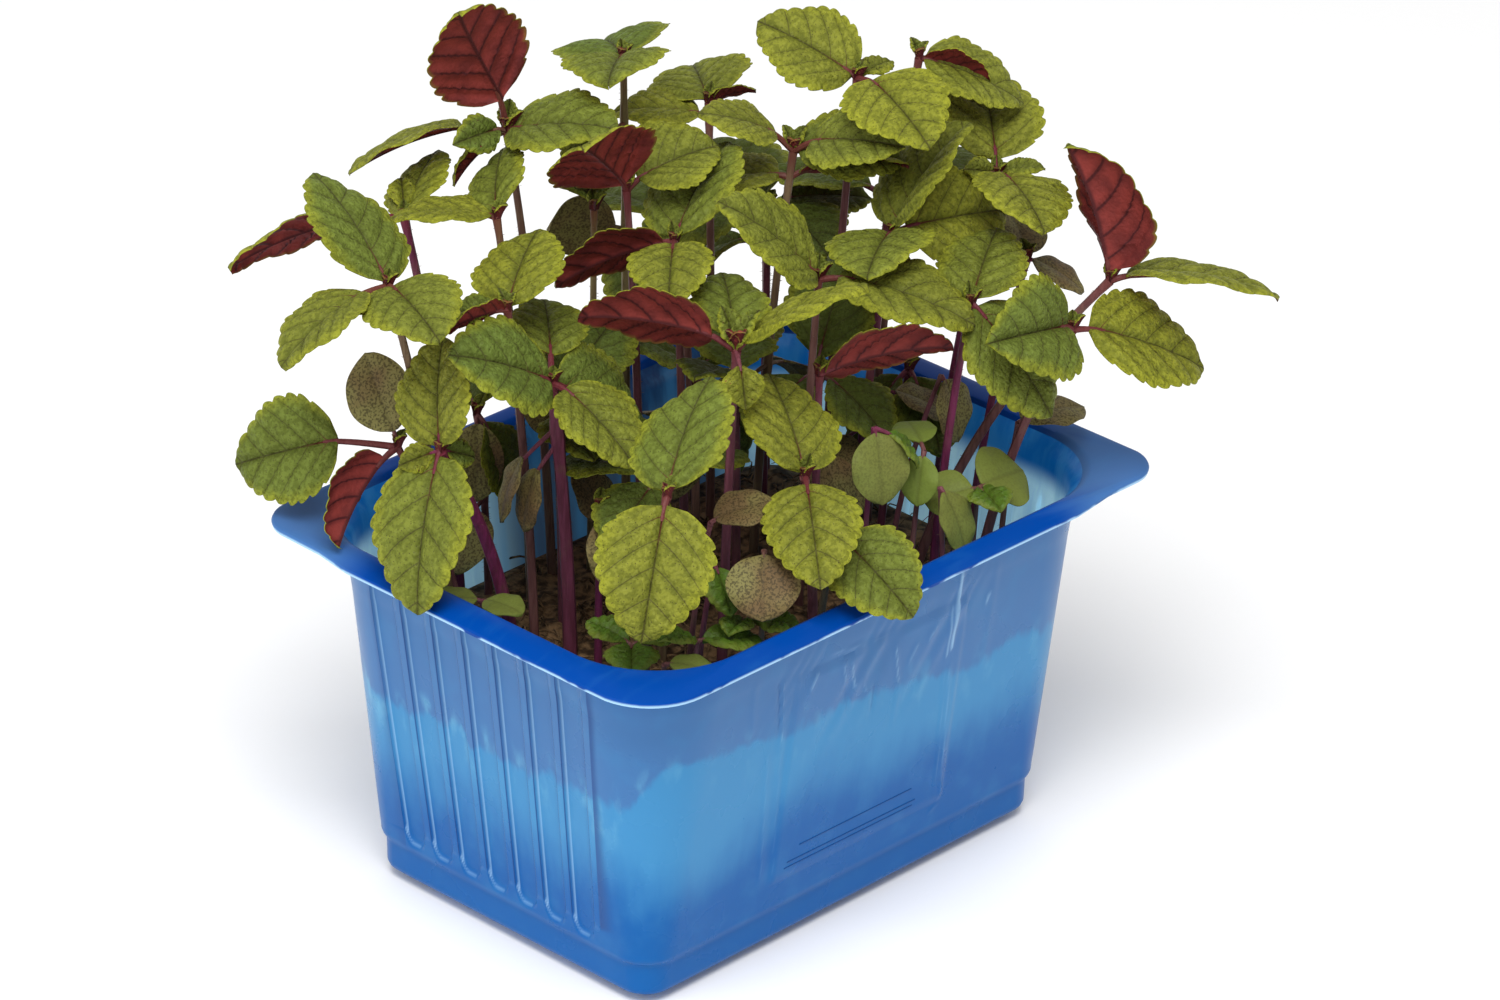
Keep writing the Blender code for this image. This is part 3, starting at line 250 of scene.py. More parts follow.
# Plants: root x and y, crown x, y and z, stem radius, in millimetres, then the leaves, each with its
# kind, share of the stem at which it leaves, heading, pitch and roll (degrees), length, width and
# petiole (millimetres), and how far its two halves fold up from the midrib (degrees).
PLANTS = (
    ("shiso_01", (-10, 31), (-12, 41, 132), 0.9, (
        ("leaf", 1, 175, 60, 75, 27, 18, 7, 12), ("leaf", 1, 140, -10, 20, 22, 18, 8, 12),
        ("leaf", 1, 290, 22, 10, 21, 19, 1, 12), ("young", 1, 190, 10, -50, 11, 7, 3, 12),
        ("young", 1, 155, -35, 40, 11, 8, 3, 12),
        ("seed", 0.42, 240, -15, 0, 12, 11, 5, 8), ("seed", 0.42, 30, -15, 0, 12, 11, 5, 8))),
    ("shiso_02", (-22, 24), (-28, 27, 125), 0.9, (
        ("leaf", 1, 135, 10, 10, 18, 17, 1, 12), ("leaf", 1, 50, 20, -40, 20, 12, 1, 12))),
    ("shiso_03", (-30, 34), (-34, 44, 121), 1.0, (
        ("leaf", 1, 15, 45, -30, 18, 12, 1, 5), ("young", 1, 50, 25, 0, 9, 5, 2, 12),
        ("leaf", 1, 140, -8, 42, 27, 17, 6, 5))),
    ("shiso_04", (-45, 20), (-55, 26, 121), 0.9, (
        ("leaf", 1, 78, 42, 20, 25, 19, 1, 0), ("leaf", 1, 170, -16, 15, 20, 18, 5, 12),
        ("leaf", 1, 250, 5, 10, 19, 17, 2, 12))),
    ("shiso_05", (-31, 14), (-38, 14, 115), 0.9, (
        ("leaf", 1, 38, 26, -15, 19, 16, 1, 5), ("leaf", 1, 165, 5, 50, 14, 9, 1, 12),
        ("young", 1, 120, -10, -30, 10, 6, 2, 12))),
    ("shiso_06", (-29, 7), (-34, 7, 102), 1.4, (
        ("leaf", 1, 175, 30, -45, 24, 18, 1, 12), ("leaf", 1, 340, -30, 40, 24, 20, 1, 12),
        ("leaf", 1, 275, -20, 0, 19, 16, 3, 12), ("leaf", 1, 60, 15, 5, 20, 13, 6, 12),
        ("seed", 0.82, 150, -60, 0, 13, 8, 8, 8), ("seed", 0.76, 165, -65, 0, 12, 8, 6, 8))),
    ("shiso_07", (-37, 13), (-55, 13, 94), 1.3, (
        ("leaf", 1, 65, 70, -60, 19, 16, 1, 20), ("leaf", 1, 205, -45, 20, 28, 20, 1, 12),
        ("young", 1, 340, -20, 50, 7, 5, 1, 12), ("young", 1, 150, -15, -50, 7, 5, 1, 12))),
    ("shiso_08", (-42, 20), (-51, 28, 88), 0.8, (
        ("leaf", 1, 120, -20, -60, 23, 18, 11, 12), ("leaf", 1, 165, -45, 60, 18, 13, 3, 40),
        ("seed", 1, 90, 55, -50, 15, 12, 3, 8))),
    ("shiso_09", (-34, -16), (-43, -30, 97), 1.0, (
        ("leaf", 1, 30, 42, -25, 24, 19, 1, 5), ("leaf", 1, 212, -45, -10, 24, 19, 2, 12))),
    ("shiso_10", (2, -23), (-11, -32, 90), 1.0, (
        ("leaf", 1, 60, 42, 20, 21, 18, 1, 5), ("leaf", 1, 230, -15, 5, 22, 16, 3, 5))),
    ("shiso_11", (-12, -14), (-12, -16, 109), 1.0, (
        ("leaf", 1, 330, 35, -20, 24, 18, 2, 5), ("young", 1, 235, -35, 0, 8, 7, 4, 12),
        ("leaf", 1, 115, 10, 55, 24, 19, 5, 12), ("leaf", 1, 50, 20, 5, 20, 13, 3, 12))),
    ("shiso_12", (0, 7), (-2, 9, 118), 0.9, (
        ("leaf", 1, 25, 35, -25, 24, 19, 1, 12), ("leaf", 1, 215, -5, 5, 19, 14, 4, 12),
        ("leaf", 1, 130, -15, 45, 21, 17, 2, 12),
        ("seed", 0.45, 215, -20, 0, 12, 11, 5, 8), ("seed", 0.45, 60, -15, 0, 12, 11, 5, 8))),
    ("shiso_13", (1, 19), (-2, 21, 124), 0.9, (
        ("leaf", 1, 185, 48, 50, 21, 19, 2, 20), ("leaf", 1, 335, 25, 15, 16, 18, 3, 20))),
    ("shiso_14", (11, 33), (13, 37, 140), 0.9, (
        ("leaf", 1, 58, -6, -10, 22, 20, 1, 12), ("leaf", 1, 215, 20, 10, 19, 18, 1, 15),
        ("leaf", 0.85, 200, -10, 0, 15, 15, 3, 12),
        ("seed", 0.62, 140, 5, 85, 13, 13, 2, 8))),
    ("shiso_15", (25, 25), (31, 33, 127), 0.9, (
        ("leaf", 1, 55, 5, -15, 21, 18, 1, 12), ("leaf", 1, 330, 20, -40, 8, 8, 1, 12),
        ("leaf", 0.96, 135, 12, 0, 16, 15, 2, 12))),
    ("shiso_16", (22, 11), (29, 10, 125.5), 0.9, (
        ("leaf", 1, 145, 30, -5, 15, 15, 5, 5), ("leaf", 1, 280, 20, 25, 19, 15, 5, 15),
        ("leaf", 0.93, 130, 0, 0, 15, 16, 2, 12), ("leaf", 0.93, 320, 16, -35, 20, 13, 2, 5),
        ("leaf", 1, 320, 3, 20, 19, 16, 1, 20),
        ("seed", 0.45, 190, -20, 0, 12, 11, 5, 8), ("seed", 0.45, 350, -15, 0, 12, 11, 5, 8))),
    ("shiso_17", (36, 7), (43, 8, 136), 0.9, (
        ("leaf", 1, 120, 32, -30, 20, 17, 1, 12), ("young", 1, 355, 15, 5, 8, 6, 1, 12),
        ("leaf", 1, 250, 0, 10, 22, 18, 6, 12))),
    ("shiso_18", (31, -5), (36, -8, 113), 0.9, (
        ("leaf", 1, 210, 15, 10, 22, 18, 2, 12), ("leaf", 1, 0, 60, -25, 24, 20, 1, 25),
        ("leaf", 1, 340, 5, 50, 21, 18, 3, 12),
        ("seed", 0.4, 190, -20, 0, 12, 11, 5, 8), ("seed", 0.5, 300, -15, 0, 12, 11, 5, 8))),
    ("shiso_19", (14, -8), (16, -9, 111), 0.9, (
        ("leaf", 1, 140, 40, -25, 24, 19, 1, 12), ("leaf", 1, 295, 0, 5, 26, 19, 4, 12),
        ("seed", 0.5, 235, -25, 0, 12, 11, 5, 8), ("seed", 0.5, 75, -15, 0, 12, 11, 5, 8))),
    ("shiso_20", (9, -16), (5, -20, 100), 0.9, (
        ("leaf", 1, 340, 25, -50, 24, 19, 1, 12),)),
    ("shiso_21", (48, -9), (58.5, -12.5, 119), 0.9, (
        ("leaf", 1, 50, 34, 5, 23, 18, 3, 12), ("leaf", 1, 245, 5, -10, 20, 17, 4, 12),
        ("young", 1, 310, 20, 5, 8, 6, 1, 12), ("young", 1, 150, 0, -50, 7, 5, 1, 12))),
    ("shiso_22", (47, 6), (56, 5, 137), 0.9, (
        ("leaf", 1, 308, -12, 10, 20, 17, 1, 12),
        ("leaf", 1, 320, -10, -45, 13, 10, 1, 12))),
    ("shiso_23", (33, -23), (33, -30, 108), 0.9, (
        ("leaf", 1, 30, 25, 0, 21, 15, 1, 5), ("leaf", 1, 283, -38, 15, 24, 18, 1, 0))),
    ("shiso_24", (48, -18), (58, -21, 105.5), 0.8, (
        ("seed", 1, 70, 30, 15, 12, 11, 1, 8), ("seed", 1, 295, -14, -5, 11, 10, 1, 8))),
    ("shiso_25", (36, -16), (61, -38, 106), 1.0, (
        ("leaf", 1, 80, 75, 85, 25, 22, 2, 35), ("leaf", 1, 315, 5, -15, 28, 19, 3, 12))),
    ("shiso_26", (39, -28), (49, -40, 101), 1.0, (
        ("leaf", 1, 195, 18, -60, 23, 18, 3, 30), ("leaf", 1, 325, -15, 25, 25, 20, 3, 12))),
    ("shiso_27", (-5, -30), (-11, -40, 81.5), 0.8, (
        ("leaf", 1, 270, -20, 20, 19, 16, 1, 12),)),
    ("shiso_28", (40, 26), (46, 32, 102), 0.9, (
        ("young", 1, 70, 15, 0, 24, 19, 3, 12), ("young", 1, 250, 10, 0, 22, 17, 3, 12),
        ("young", 1, 318, 10, 10, 17, 15, 3, 12), ("young", 1, 155, 0, -10, 22, 17, 4, 12))),
    ("shiso_29", (30, 34), (32, 42, 100), 0.9, (
        ("young", 1, 85, 0, 0, 24, 19, 3, 12), ("young", 1, 200, -25, 10, 22, 17, 3, 12))),
    ("shiso_30", (50, 10), (58, 13, 106), 0.9, (
        ("young", 1, 10, 10, 0, 24, 19, 3, 12), ("young", 1, 115, 10, 5, 22, 17, 4, 12),
        ("young", 1, 245, 35, 5, 18, 15, 3, 12))),
    ("shiso_31", (48, 33), (54, 40, 90), 0.9, (
        ("young", 1, 40, 0, 0, 25, 19, 3, 12), ("young", 1, 130, -20, 0, 22, 17, 4, 12),
        ("young", 1, 310, -15, 0, 22, 17, 4, 12))),
    ("shiso_32", (14, 18), (15, 20, 82), 0.9, (
        ("young", 1, 350, 25, 0, 18, 15, 3, 12), ("young", 1, 150, 14, 0, 20, 17, 3, 12),
        ("young", 1, 255, -25, 0, 17, 15, 3, 12))),
    ("shiso_33", (-19, -6), (-21, -7, 84), 0.9, (
        ("young", 1, 100, 0, 0, 20, 16, 3, 12), ("young", 1, 0, 0, 0, 20, 16, 3, 12),
        ("young", 1, 190, -25, 0, 16, 14, 2, 12))),
    ("shiso_34", (26, 1), (26, 0, 86), 0.9, (
        ("young", 1, 45, 35, 0, 20, 17, 3, 12), ("young", 1, 195, -10, 0, 17, 14, 3, 12),
        ("young", 1, 285, -30, 0, 17, 14, 3, 12), ("seed", 0.6, 260, -30, 0, 13, 12, 4, 8))),
    ("shiso_35", (8, 2), (7, 2, 90), 0.9, (
        ("young", 1, 45, 10, 0, 17, 14, 3, 12), ("young", 1, 155, -10, 0, 17, 14, 3, 12),
        ("young", 1, 275, -20, 0, 17, 14, 3, 12))),
    ("shiso_36", (-22, 16), (-22, 18, 88), 0.9, (
        ("young", 1, 10, 32, 0, 23, 17, 3, 12), ("young", 1, 300, -5, 0, 16, 14, 3, 12),
        ("seed", 0.8, 285, -45, 0, 13, 11, 4, 8), ("young", 1, 215, -30, 0, 15, 13, 2, 12))),
    ("shiso_37", (-24, 33), (-28, 32, 85), 0.8, (
        ("seed", 1, 225, -55, 0, 14, 10, 2, 8), ("young", 1, 290, -15, 0, 16, 14, 2, 12),
        ("young", 1, 60, 10, 0, 16, 14, 2, 12), ("seed", 0.5, 200, -30, 0, 13, 12, 4, 8))),
    ("shiso_38", (43, -1), (45, -5, 82), 0.8, (
        ("young", 1, 160, 0, 0, 17, 14, 2, 12), ("young", 1, 250, -25, 0, 16, 14, 2, 12),
        ("seed", 0.5, 30, 0, 0, 13, 12, 4, 8))),
    ("shiso_39", (-4, 27), (-1, 30, 117), 0.8, (
        ("young", 1, 60, 20, 0, 12, 10, 2, 12),)),
    ("seedling_01", (-41, -20), (-43, -22, 65), 0.6, (
        ("young", 1, 225, 10, 0, 10, 9, 1, 12), ("young", 1, 100, 20, 0, 9, 8, 1, 12),
        ("young", 1, 340, 15, 0, 9, 8, 1, 12))),
    ("seedling_02", (-34, -28), (-35, -30, 66), 0.6, (
        ("young", 1, 320, 5, 0, 11, 9, 1, 12), ("young", 1, 170, 20, 0, 8, 7, 1, 12))),
    ("seedling_03", (-25, -32), (-26, -33, 68), 0.6, (
        ("young", 1, 315, 5, 0, 9, 8, 1, 12), ("young", 1, 200, 15, 0, 7, 6, 1, 12))),
    ("seedling_04", (-29, -24), (-29, -28, 78), 0.6, (
        ("young", 1, 250, -35, 0, 9, 7, 1, 12),)),
    ("seedling_05", (-20, -31), (-24, -35, 81.5), 0.6, (
        ("seed", 1, 223, -35, 0, 12, 13, 1, 8),)),
    ("seedling_06", (-26, -19), (-28, -26, 85), 0.6, (
        ("seed", 1, 335, 18, 10, 12, 10, 1, 8),)),
    ("seedling_07", (-43, -28), (-45, -32, 66), 0.6, (
        ("seed", 1, 310, 0, 0, 9, 8, 1, 8),)),
    ("seedling_08", (13, -24), (13, -26, 89), 0.6, (
        ("seed", 1, 245, -60, 0, 13, 11, 1, 8), ("young", 1, 320, -40, 0, 9, 6, 3, 12))),
    ("seedling_09", (22, -27), (23, -29, 82), 0.6, (
        ("seed", 1, 215, -55, 0, 9, 7, 1, 8), ("seed", 1, 60, 10, 0, 9, 8, 2, 8))),
    ("seedling_10", (24, -34), (22, -34, 77), 0.6, (
        ("seed", 1, 265, -40, 0, 12, 9, 1, 8),)),
    ("seedling_11", (32, -33), (31, -35, 74), 0.6, (
        ("seed", 1, 5, 5, 35, 11, 13, 1, 8), ("seed", 1, 165, 10, -30, 9, 10, 1, 8),
        ("young", 1, 250, 0, 0, 8, 8, 1, 12))),
    ("seedling_12", (32, -13), (37, -20, 89), 0.6, (
        ("seed", 1, 280, -50, 0, 12, 11, 1, 8),)),
    ("seedling_13", (50, -24), (48, -29, 79), 0.6, (
        ("seed", 1, 350, 5, 10, 15, 10, 1, 8),)),
    ("seedling_14", (-30, -1), (-31, -2, 80), 0.8, (
        ("seed", 1, 250, -55, 0, 13, 9, 2, 8), ("seed", 1, 335, -5, 0, 10, 8, 3, 8))),
    ("seedling_15", (-42, 15), (-45, 13, 61), 0.6, (
        ("seed", 1, 140, 10, 0, 9, 8, 1, 8), ("seed", 1, 280, 10, 0, 8, 8, 1, 8))),
)


# Sizes and colours


def colour(name, description, *default):
    """A colour that the user can change."""
    return FloatVectorProperty(name=name, description=description, size=3, subtype="COLOR", min=0, max=1,
                               default=default)


def distance(name, description, millimetres):
    """A length that the user can change, given in millimetres and kept in metres."""
    return FloatProperty(name=name, description=description, default=millimetres * MM, unit="LENGTH",
                         subtype="DISTANCE")


class PunnetSettings(bpy.types.PropertyGroup):
    """Sizes and colours of the punnet's plastic."""
    flute_depth: distance("Flute depth", "How far each flute stands back from its ridges", 0.8)
    wrinkle: distance("Wrinkle", "Height of the soft wrinkles over each side panel", 0.16)
    # The plastic's blue above the medium, greyed by painted shade of the dark inside seen through it.
    upper: colour("Upper wall", "Wall above the growing medium", 0.05, 0.165, 0.39)
    middle: colour("Damp band", "Wall just below the top of the medium", 0.045, 0.24, 0.49)
    lower: colour("Lower wall", "Wall near the base", 0.0, 0.10, 0.35)
    flange: colour("Flange", "Narrow flange and the lip's outer face", 0.0, 0.052, 0.305)
    ear: colour("Ear", "Broad flat ears at two corners", 0.055, 0.155, 0.39)
    inside: colour("Inside", "Bright inner wall, washed by light", 0.45, 0.78, 0.95)
    inside_top: colour("Inside top", "Inner wall just under the flange", 0.0, 0.10, 0.36)
    shade: colour("Inside shade", "Inner wall behind the plants", 0.006, 0.025, 0.08)
    pale: colour("Condensation", "Pale blotches in the damp band", 0.12, 0.37, 0.58)
    gleam: colour("Gleam", "Bright thin edges that catch the light", 0.42, 0.68, 0.92)
    # Painted shade along the flute steps and creases, and the colour of the thin dark raised bars.
    shade_line_and_bar: colour("Groove", "Thin dark lines", 0.012, 0.06, 0.22)
    glow: FloatProperty(name="Glow", description="Light that the inner wall lets through", default=0.3, min=0)


class MediumSettings(bpy.types.PropertyGroup):
    """Sizes and colours of the growing medium."""
    relief: distance("Relief", "Height of the lumps on the medium's top", 1.6)
    fibres: IntProperty(name="Fibres", description="Loose fibres on the medium", default=420, min=0)
    fibre_length: distance("Fibre length", "Length of one loose fibre", 7)
    dark: colour("Damp fibre", "Colour in the hollows", 0.035, 0.018, 0.008)
    light: colour("Dry fibre", "Colour on the lumps", 0.22, 0.13, 0.06)


class FoliageSettings(bpy.types.PropertyGroup):
    """Sizes and colours of the leaves and stems."""
    sheet: distance("Leaf thickness", "Thickness of a blade at its midrib", 0.34)
    tooth: distance("Tooth", "How far a margin tooth stands out on a large leaf", 0.75)
    teeth: IntProperty(name="Teeth", description="Teeth on each side of a large leaf", default=9, min=3)
    quilting: distance("Quilting", "Height of the bulges between the side veins", 0.62)
    hairs: IntProperty(name="Hairs", description="Fine hairs on each stem", default=150, min=0)
    hair_length: distance("Hair length", "Length of one hair", 0.55)
    leaf: colour("Leaf", "Upper face", 0.215, 0.225, 0.026)
    # Also the painted shade in the vein hollows and on the leaves behind.
    leaf_mottle_and_shade: colour("Leaf mottle", "Darker mottling of the upper face", 0.050, 0.060, 0.007)
    leaf_cool: colour("Greener leaf", "Upper face of the greener leaves", 0.125, 0.175, 0.030)
    margin: colour("Margin", "Brighter band along the teeth", 0.36, 0.37, 0.022)
    vein: colour("Vein", "Veins on the upper face", 0.038, 0.028, 0.012)
    vein_base: colour("Vein base", "Red start of the midrib and veins", 0.12, 0.018, 0.018)
    under: colour("Underside", "Maroon lower face", 0.225, 0.036, 0.030)
    # Also the painted shade on the stems near the medium.
    under_vein_and_shade: colour("Underside vein", "Raised veins of the lower face", 0.048, 0.010, 0.012)
    seed_leaf: colour("Seed leaf", "Round first leaves", 0.21, 0.19, 0.06)
    seed_green: colour("Green seed leaf", "Seed leaves of the seedlings", 0.15, 0.215, 0.03)
    seed_brown: colour("Seed leaf patches", "Browner parts of the seed leaves", 0.15, 0.095, 0.04)
    young: colour("Young leaf", "Crinkled small leaves", 0.075, 0.145, 0.012)
    stem_green: colour("Green stem", "Stems in light", 0.19, 0.17, 0.06)
    stem_purple: colour("Purple stem", "Coloured stems", 0.19, 0.024, 0.085)


class StageSettings(bpy.types.PropertyGroup):
    """Floor and lights."""
    floor: colour("Floor", "Pale floor", 0.97, 0.97, 0.97)
    key_power: FloatProperty(name="Key", description="Soft light from above", default=10.0, unit="POWER")
    fill_power: FloatProperty(name="Fill", description="Soft light from the front left", default=2.5,
                              unit="POWER")
    sky: FloatProperty(name="Sky", description="Strength of the even light all round", default=0.64)


# Meshes


class Shape:
    """Points, faces and surface values of one piece, gathered in millimetres."""
    VALUES = ("vein", "rib", "across", "along", "tint", "tone")

    def __init__(self):
        self.points, self.faces, self.slots, self.values, self.count = [], [], [], [], 0

    def add(self, points, faces, slot, **values):
        """Add points (n, 3) and faces (lists of indices into them) that share a material slot."""
        points = np.asarray(points, dtype=float).reshape(-1, 3)
        self.points.append(points)
        self.faces += [tuple(int(i) + self.count for i in face) for face in faces]
        self.slots += [slot] * len(faces)
        rows = np.zeros((len(points), len(self.VALUES)))
        for index, name in enumerate(self.VALUES):
            rows[:, index] = values.get(name, 0.0)
        self.values.append(rows)
        self.count += len(points)

    def build(self, name, materials, sharp=40.0):
        """The finished piece, in metres, smooth except at edges sharper than the angle."""
        mesh = bpy.data.meshes.new(name)
        points = np.concatenate(self.points) * MM
        mesh.from_pydata(points.tolist(), [], self.faces)
        mesh.polygons.foreach_set("material_index", self.slots)
        values = np.concatenate(self.values)
        for index, value in enumerate(self.VALUES):
            if values[:, index].any():
                layer = mesh.attributes.new(value, "FLOAT", "POINT")
                layer.data.foreach_set("value", values[:, index].astype(np.float32))
        for material in materials:
            mesh.materials.append(material)
        mesh.shade_smooth()
        mesh.set_sharp_from_angle(angle=math.radians(sharp))
        mesh.validate()
        piece = bpy.data.objects.new(name, mesh)
        bpy.context.scene.collection.objects.link(piece)
        return piece


def deliver(piece, slot, *nodes):
    """Attach a piece to the part's root: it rides on the part and stands for its nodes, which are hidden. The
    slot is not used.
    """
    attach(piece, "root")
    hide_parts(*nodes)


def grid_faces(rows, columns, closed=False, start=0, flip=False):
    """Quads over a grid of points, rows by columns, closed round its columns when asked."""
    faces = []
    for row in range(rows - 1):
        for column in range(columns if closed else columns - 1):
            after = (column + 1) % columns
            face = (start + row * columns + column, start + row * columns + after,
                    start + (row + 1) * columns + after, start + (row + 1) * columns + column)
            faces.append(face[::-1] if flip else face)
    return faces


def closed_faces(rings, count, flip=False):
    """Faces that join rings of points in order, with a cap on the first ring and on the last."""
    faces = grid_faces(rings, count, closed=True)
    faces.append(tuple(range(count))[::-1])
    faces.append(tuple(range((rings - 1) * count, rings * count)))
    return [face[::-1] for face in faces] if flip else faces


def rounded_outline(half_x, half_y, radius, arc_steps, side_steps):
    """A rounded rectangle, counter-clockwise, with steps round its corners and along its sides."""
    arcs = []
    for quarter, (sx, sy) in enumerate(((1, 1), (-1, 1), (-1, -1), (1, -1))):
        angles = [(quarter + step / arc_steps) * math.pi / 2 for step in range(arc_steps + 1)]
        arcs.append([(sx * (half_x - radius) + radius * math.cos(angle),
                      sy * (half_y - radius) + radius * math.sin(angle)) for angle in angles])
    points = []
    for arc, after in zip(arcs, arcs[1:] + arcs[:1]):
        points += arc
        (x0, y0), (x1, y1) = arc[-1], after[0]
        points += [(x0 + (x1 - x0) * k / side_steps, y0 + (y1 - y0) * k / side_steps)
                   for k in range(1, side_steps)]
    return points


def smooth(low, high, value):
    """Eased step from 0 at low to 1 at high."""
    share = np.clip((value - low) / (high - low), 0.0, 1.0)
    return share * share * (3 - 2 * share)


# Finishes


class Finish:
    """A material in the making: its colour so far, with short calls for the nodes laid over it."""

    def __init__(self, name, roughness, specular, base):
        self.material = bpy.data.materials.new(name)
        self.material.use_nodes = True
        self.tree = self.material.node_tree
        self.shader = self.tree.nodes["Principled BSDF"]
        self.shader.inputs["Roughness"].default_value = roughness
        self.shader.inputs["Specular IOR Level"].default_value = specular
        self.place = self.node("ShaderNodeTexCoord").outputs["Object"]
        self.base = base

    def link(self, source, socket):
        """Join a node's output to a socket, or set the socket to a number, a vector or a colour."""
        if hasattr(source, "is_output"):
            self.tree.links.new(source, socket)
        elif socket.type == "RGBA":
            socket.default_value = (*source, 1.0)
        else:
            socket.default_value = source

    def node(self, kind, *sources, **settings):
        """A new node with its settings, its first inputs linked or set in order."""
        node = self.tree.nodes.new(kind)
        for name, setting in settings.items():
            setattr(node, name, setting)
        for source, socket in zip(sources, node.inputs):
            self.link(source, socket)
        return node

    def value(self, name):
        """One of the values that a shape's points carry."""
        return self.node("ShaderNodeAttribute", attribute_name=name).outputs["Fac"]

    def axis(self, name):
        """A place along one axis of the part, in millimetres."""
        return self.times(self.node("ShaderNodeSeparateXYZ", self.place).outputs[name], 1 / MM)

    def maths(self, operation, *sources):
        return self.node("ShaderNodeMath", *sources, operation=operation).outputs[0]

    def times(self, first, second):
        return self.maths("MULTIPLY", first, second)

    def plus(self, first, second):
        return self.maths("ADD", first, second)

    def off_whole(self, source):
        """How far a number lies from the nearest whole one."""
        return self.maths("ABSOLUTE", self.maths("SUBTRACT", source, self.maths("ROUND", source)))

    def span(self, source, low, high, start=0.0, end=1.0):
        """Eased change from start to end as the source goes from low to high."""
        return self.node("ShaderNodeMapRange", source, low, high, start, end,
                         interpolation_type="SMOOTHSTEP").outputs[0]

    def noise(self, scale, detail, *spread):
        """Clouds at a scale, or at one for each axis; a spread is stretched to reach from 0 to 1."""
        place = self.place
        if isinstance(scale, tuple):
            place = self.node("ShaderNodeVectorMath", place, scale, operation="MULTIPLY").outputs[0]
            scale = 1.0
        node = self.node("ShaderNodeTexNoise", place)
        self.link(scale, node.inputs["Scale"])
        self.link(detail, node.inputs["Detail"])
        return self.span(node.outputs["Fac"], *spread) if spread else node.outputs["Fac"]

    def cells(self, scale, feature="F1"):
        """Distances in a field of small cells: from their middles, or from their edges."""
        node = self.node("ShaderNodeTexVoronoi", self.place, feature=feature)
        self.link(scale, node.inputs["Scale"])
        return node.outputs["Distance"]

    def mix(self, share, first, second):
        node = self.node("ShaderNodeMix", share, data_type="RGBA")
        self.link(first, node.inputs[6])
        self.link(second, node.inputs[7])
        return node.outputs[2]

    def over(self, colour, share, most=None):
        """Lay a colour over the finish by a share, which can be scaled down to a most."""
        self.base = self.mix(self.times(share, most) if most else share, self.base, colour)

    def bump(self, height, depth, strength):
        """Relief of a depth in millimetres."""
        node = self.node("ShaderNodeBump")
        for name, source in (("Strength", strength), ("Distance", depth * MM), ("Height", height)):
            self.link(source, node.inputs[name])
        self.link(node.outputs[0], self.shader.inputs["Normal"])

    def rough(self, source):
        self.link(source, self.shader.inputs["Roughness"])

    def done(self):
        self.link(self.base, self.shader.inputs["Base Color"])
        return self.material


def vein_share(finish, rib_half, side_half):
    """1 on the midrib and side veins, 0 beside them; half widths in millimetres and in vein phase."""
    rib = finish.span(finish.value("rib"), rib_half * 0.4, rib_half * 1.5, 1.0, 0.0)
    phase = finish.value("vein")
    side = finish.span(finish.off_whole(phase), side_half * 0.3, side_half * 1.6, 1.0, 0.0)
    side = finish.times(side, finish.span(finish.value("across"), 0.75, 1.0, 1.0, 0.15))
    return finish.maths("MAXIMUM", rib, finish.times(side, finish.maths("GREATER_THAN", phase, 0.5)))


def leaf_finish(look):
    """Upper face: yellow-green, mottled, with dark fine veins, a brighter toothed margin, and painted shade
    in the vein hollows and on the leaves behind.
    """
    finish = Finish("leaf_upper", 0.6, 0.12, look.leaf)
    along, across, tint = (finish.value(name) for name in ("along", "across", "tint"))
    mottle = finish.noise(1100.0, 5.0, 0.42, 0.6)
    patches = finish.noise(150.0, 3.0, 0.35, 0.7)
    finish.over(look.leaf_cool, finish.span(tint, 0.6, 0.1))
    finish.over(look.margin, finish.span(tint, 0.5, 1.0), 0.5)
    # Painted shade: the leaves deep behind the others, with a tint below 0, are darkened.
    finish.over(look.leaf_mottle_and_shade, finish.span(tint, 0.1, -0.8), 0.75)
    finish.over(look.margin, finish.span(finish.plus(across, finish.times(patches, 0.15)), 0.7, 1.12), 0.65)
    finish.over(look.leaf_mottle_and_shade, mottle, 0.42)
    finish.over(look.leaf_mottle_and_shade, patches, 0.25)
    # Painted shade: darker in the hollows beside the side veins and along the midrib, less towards the
    # margin.
    valley_shade = finish.maths("MAXIMUM", finish.span(finish.off_whole(finish.value("vein")), 0.0, 0.3, 0.32, 0.0),
                          finish.span(finish.value("rib"), 0.0, 1.8, 0.5, 0.0))
    finish.over(look.leaf_mottle_and_shade, finish.times(valley_shade, finish.span(across, 0.5, 1.0, 1.0, 0.25)))
    finish.over(look.vein, finish.span(finish.cells(1700.0), 0.1, 0.24, 1.0, 0.0), 0.8)
    blush = finish.span(finish.plus(along, finish.times(across, 0.6)), 0.02, 0.42)
    veins = finish.times(vein_share(finish, 0.16, 0.024), finish.span(blush, 0.0, 1.0, 1.0, 0.6))
    finish.over(finish.mix(blush, look.vein_base, look.vein), veins)
    pebbles = finish.cells(900.0, "DISTANCE_TO_EDGE")
    finish.bump(finish.plus(pebbles, finish.times(finish.noise(2500.0, 3.0), 0.3)), 0.5, 0.9)
    finish.rough(finish.span(mottle, 0.0, 1.0, 0.5, 0.68))
    return finish.done()


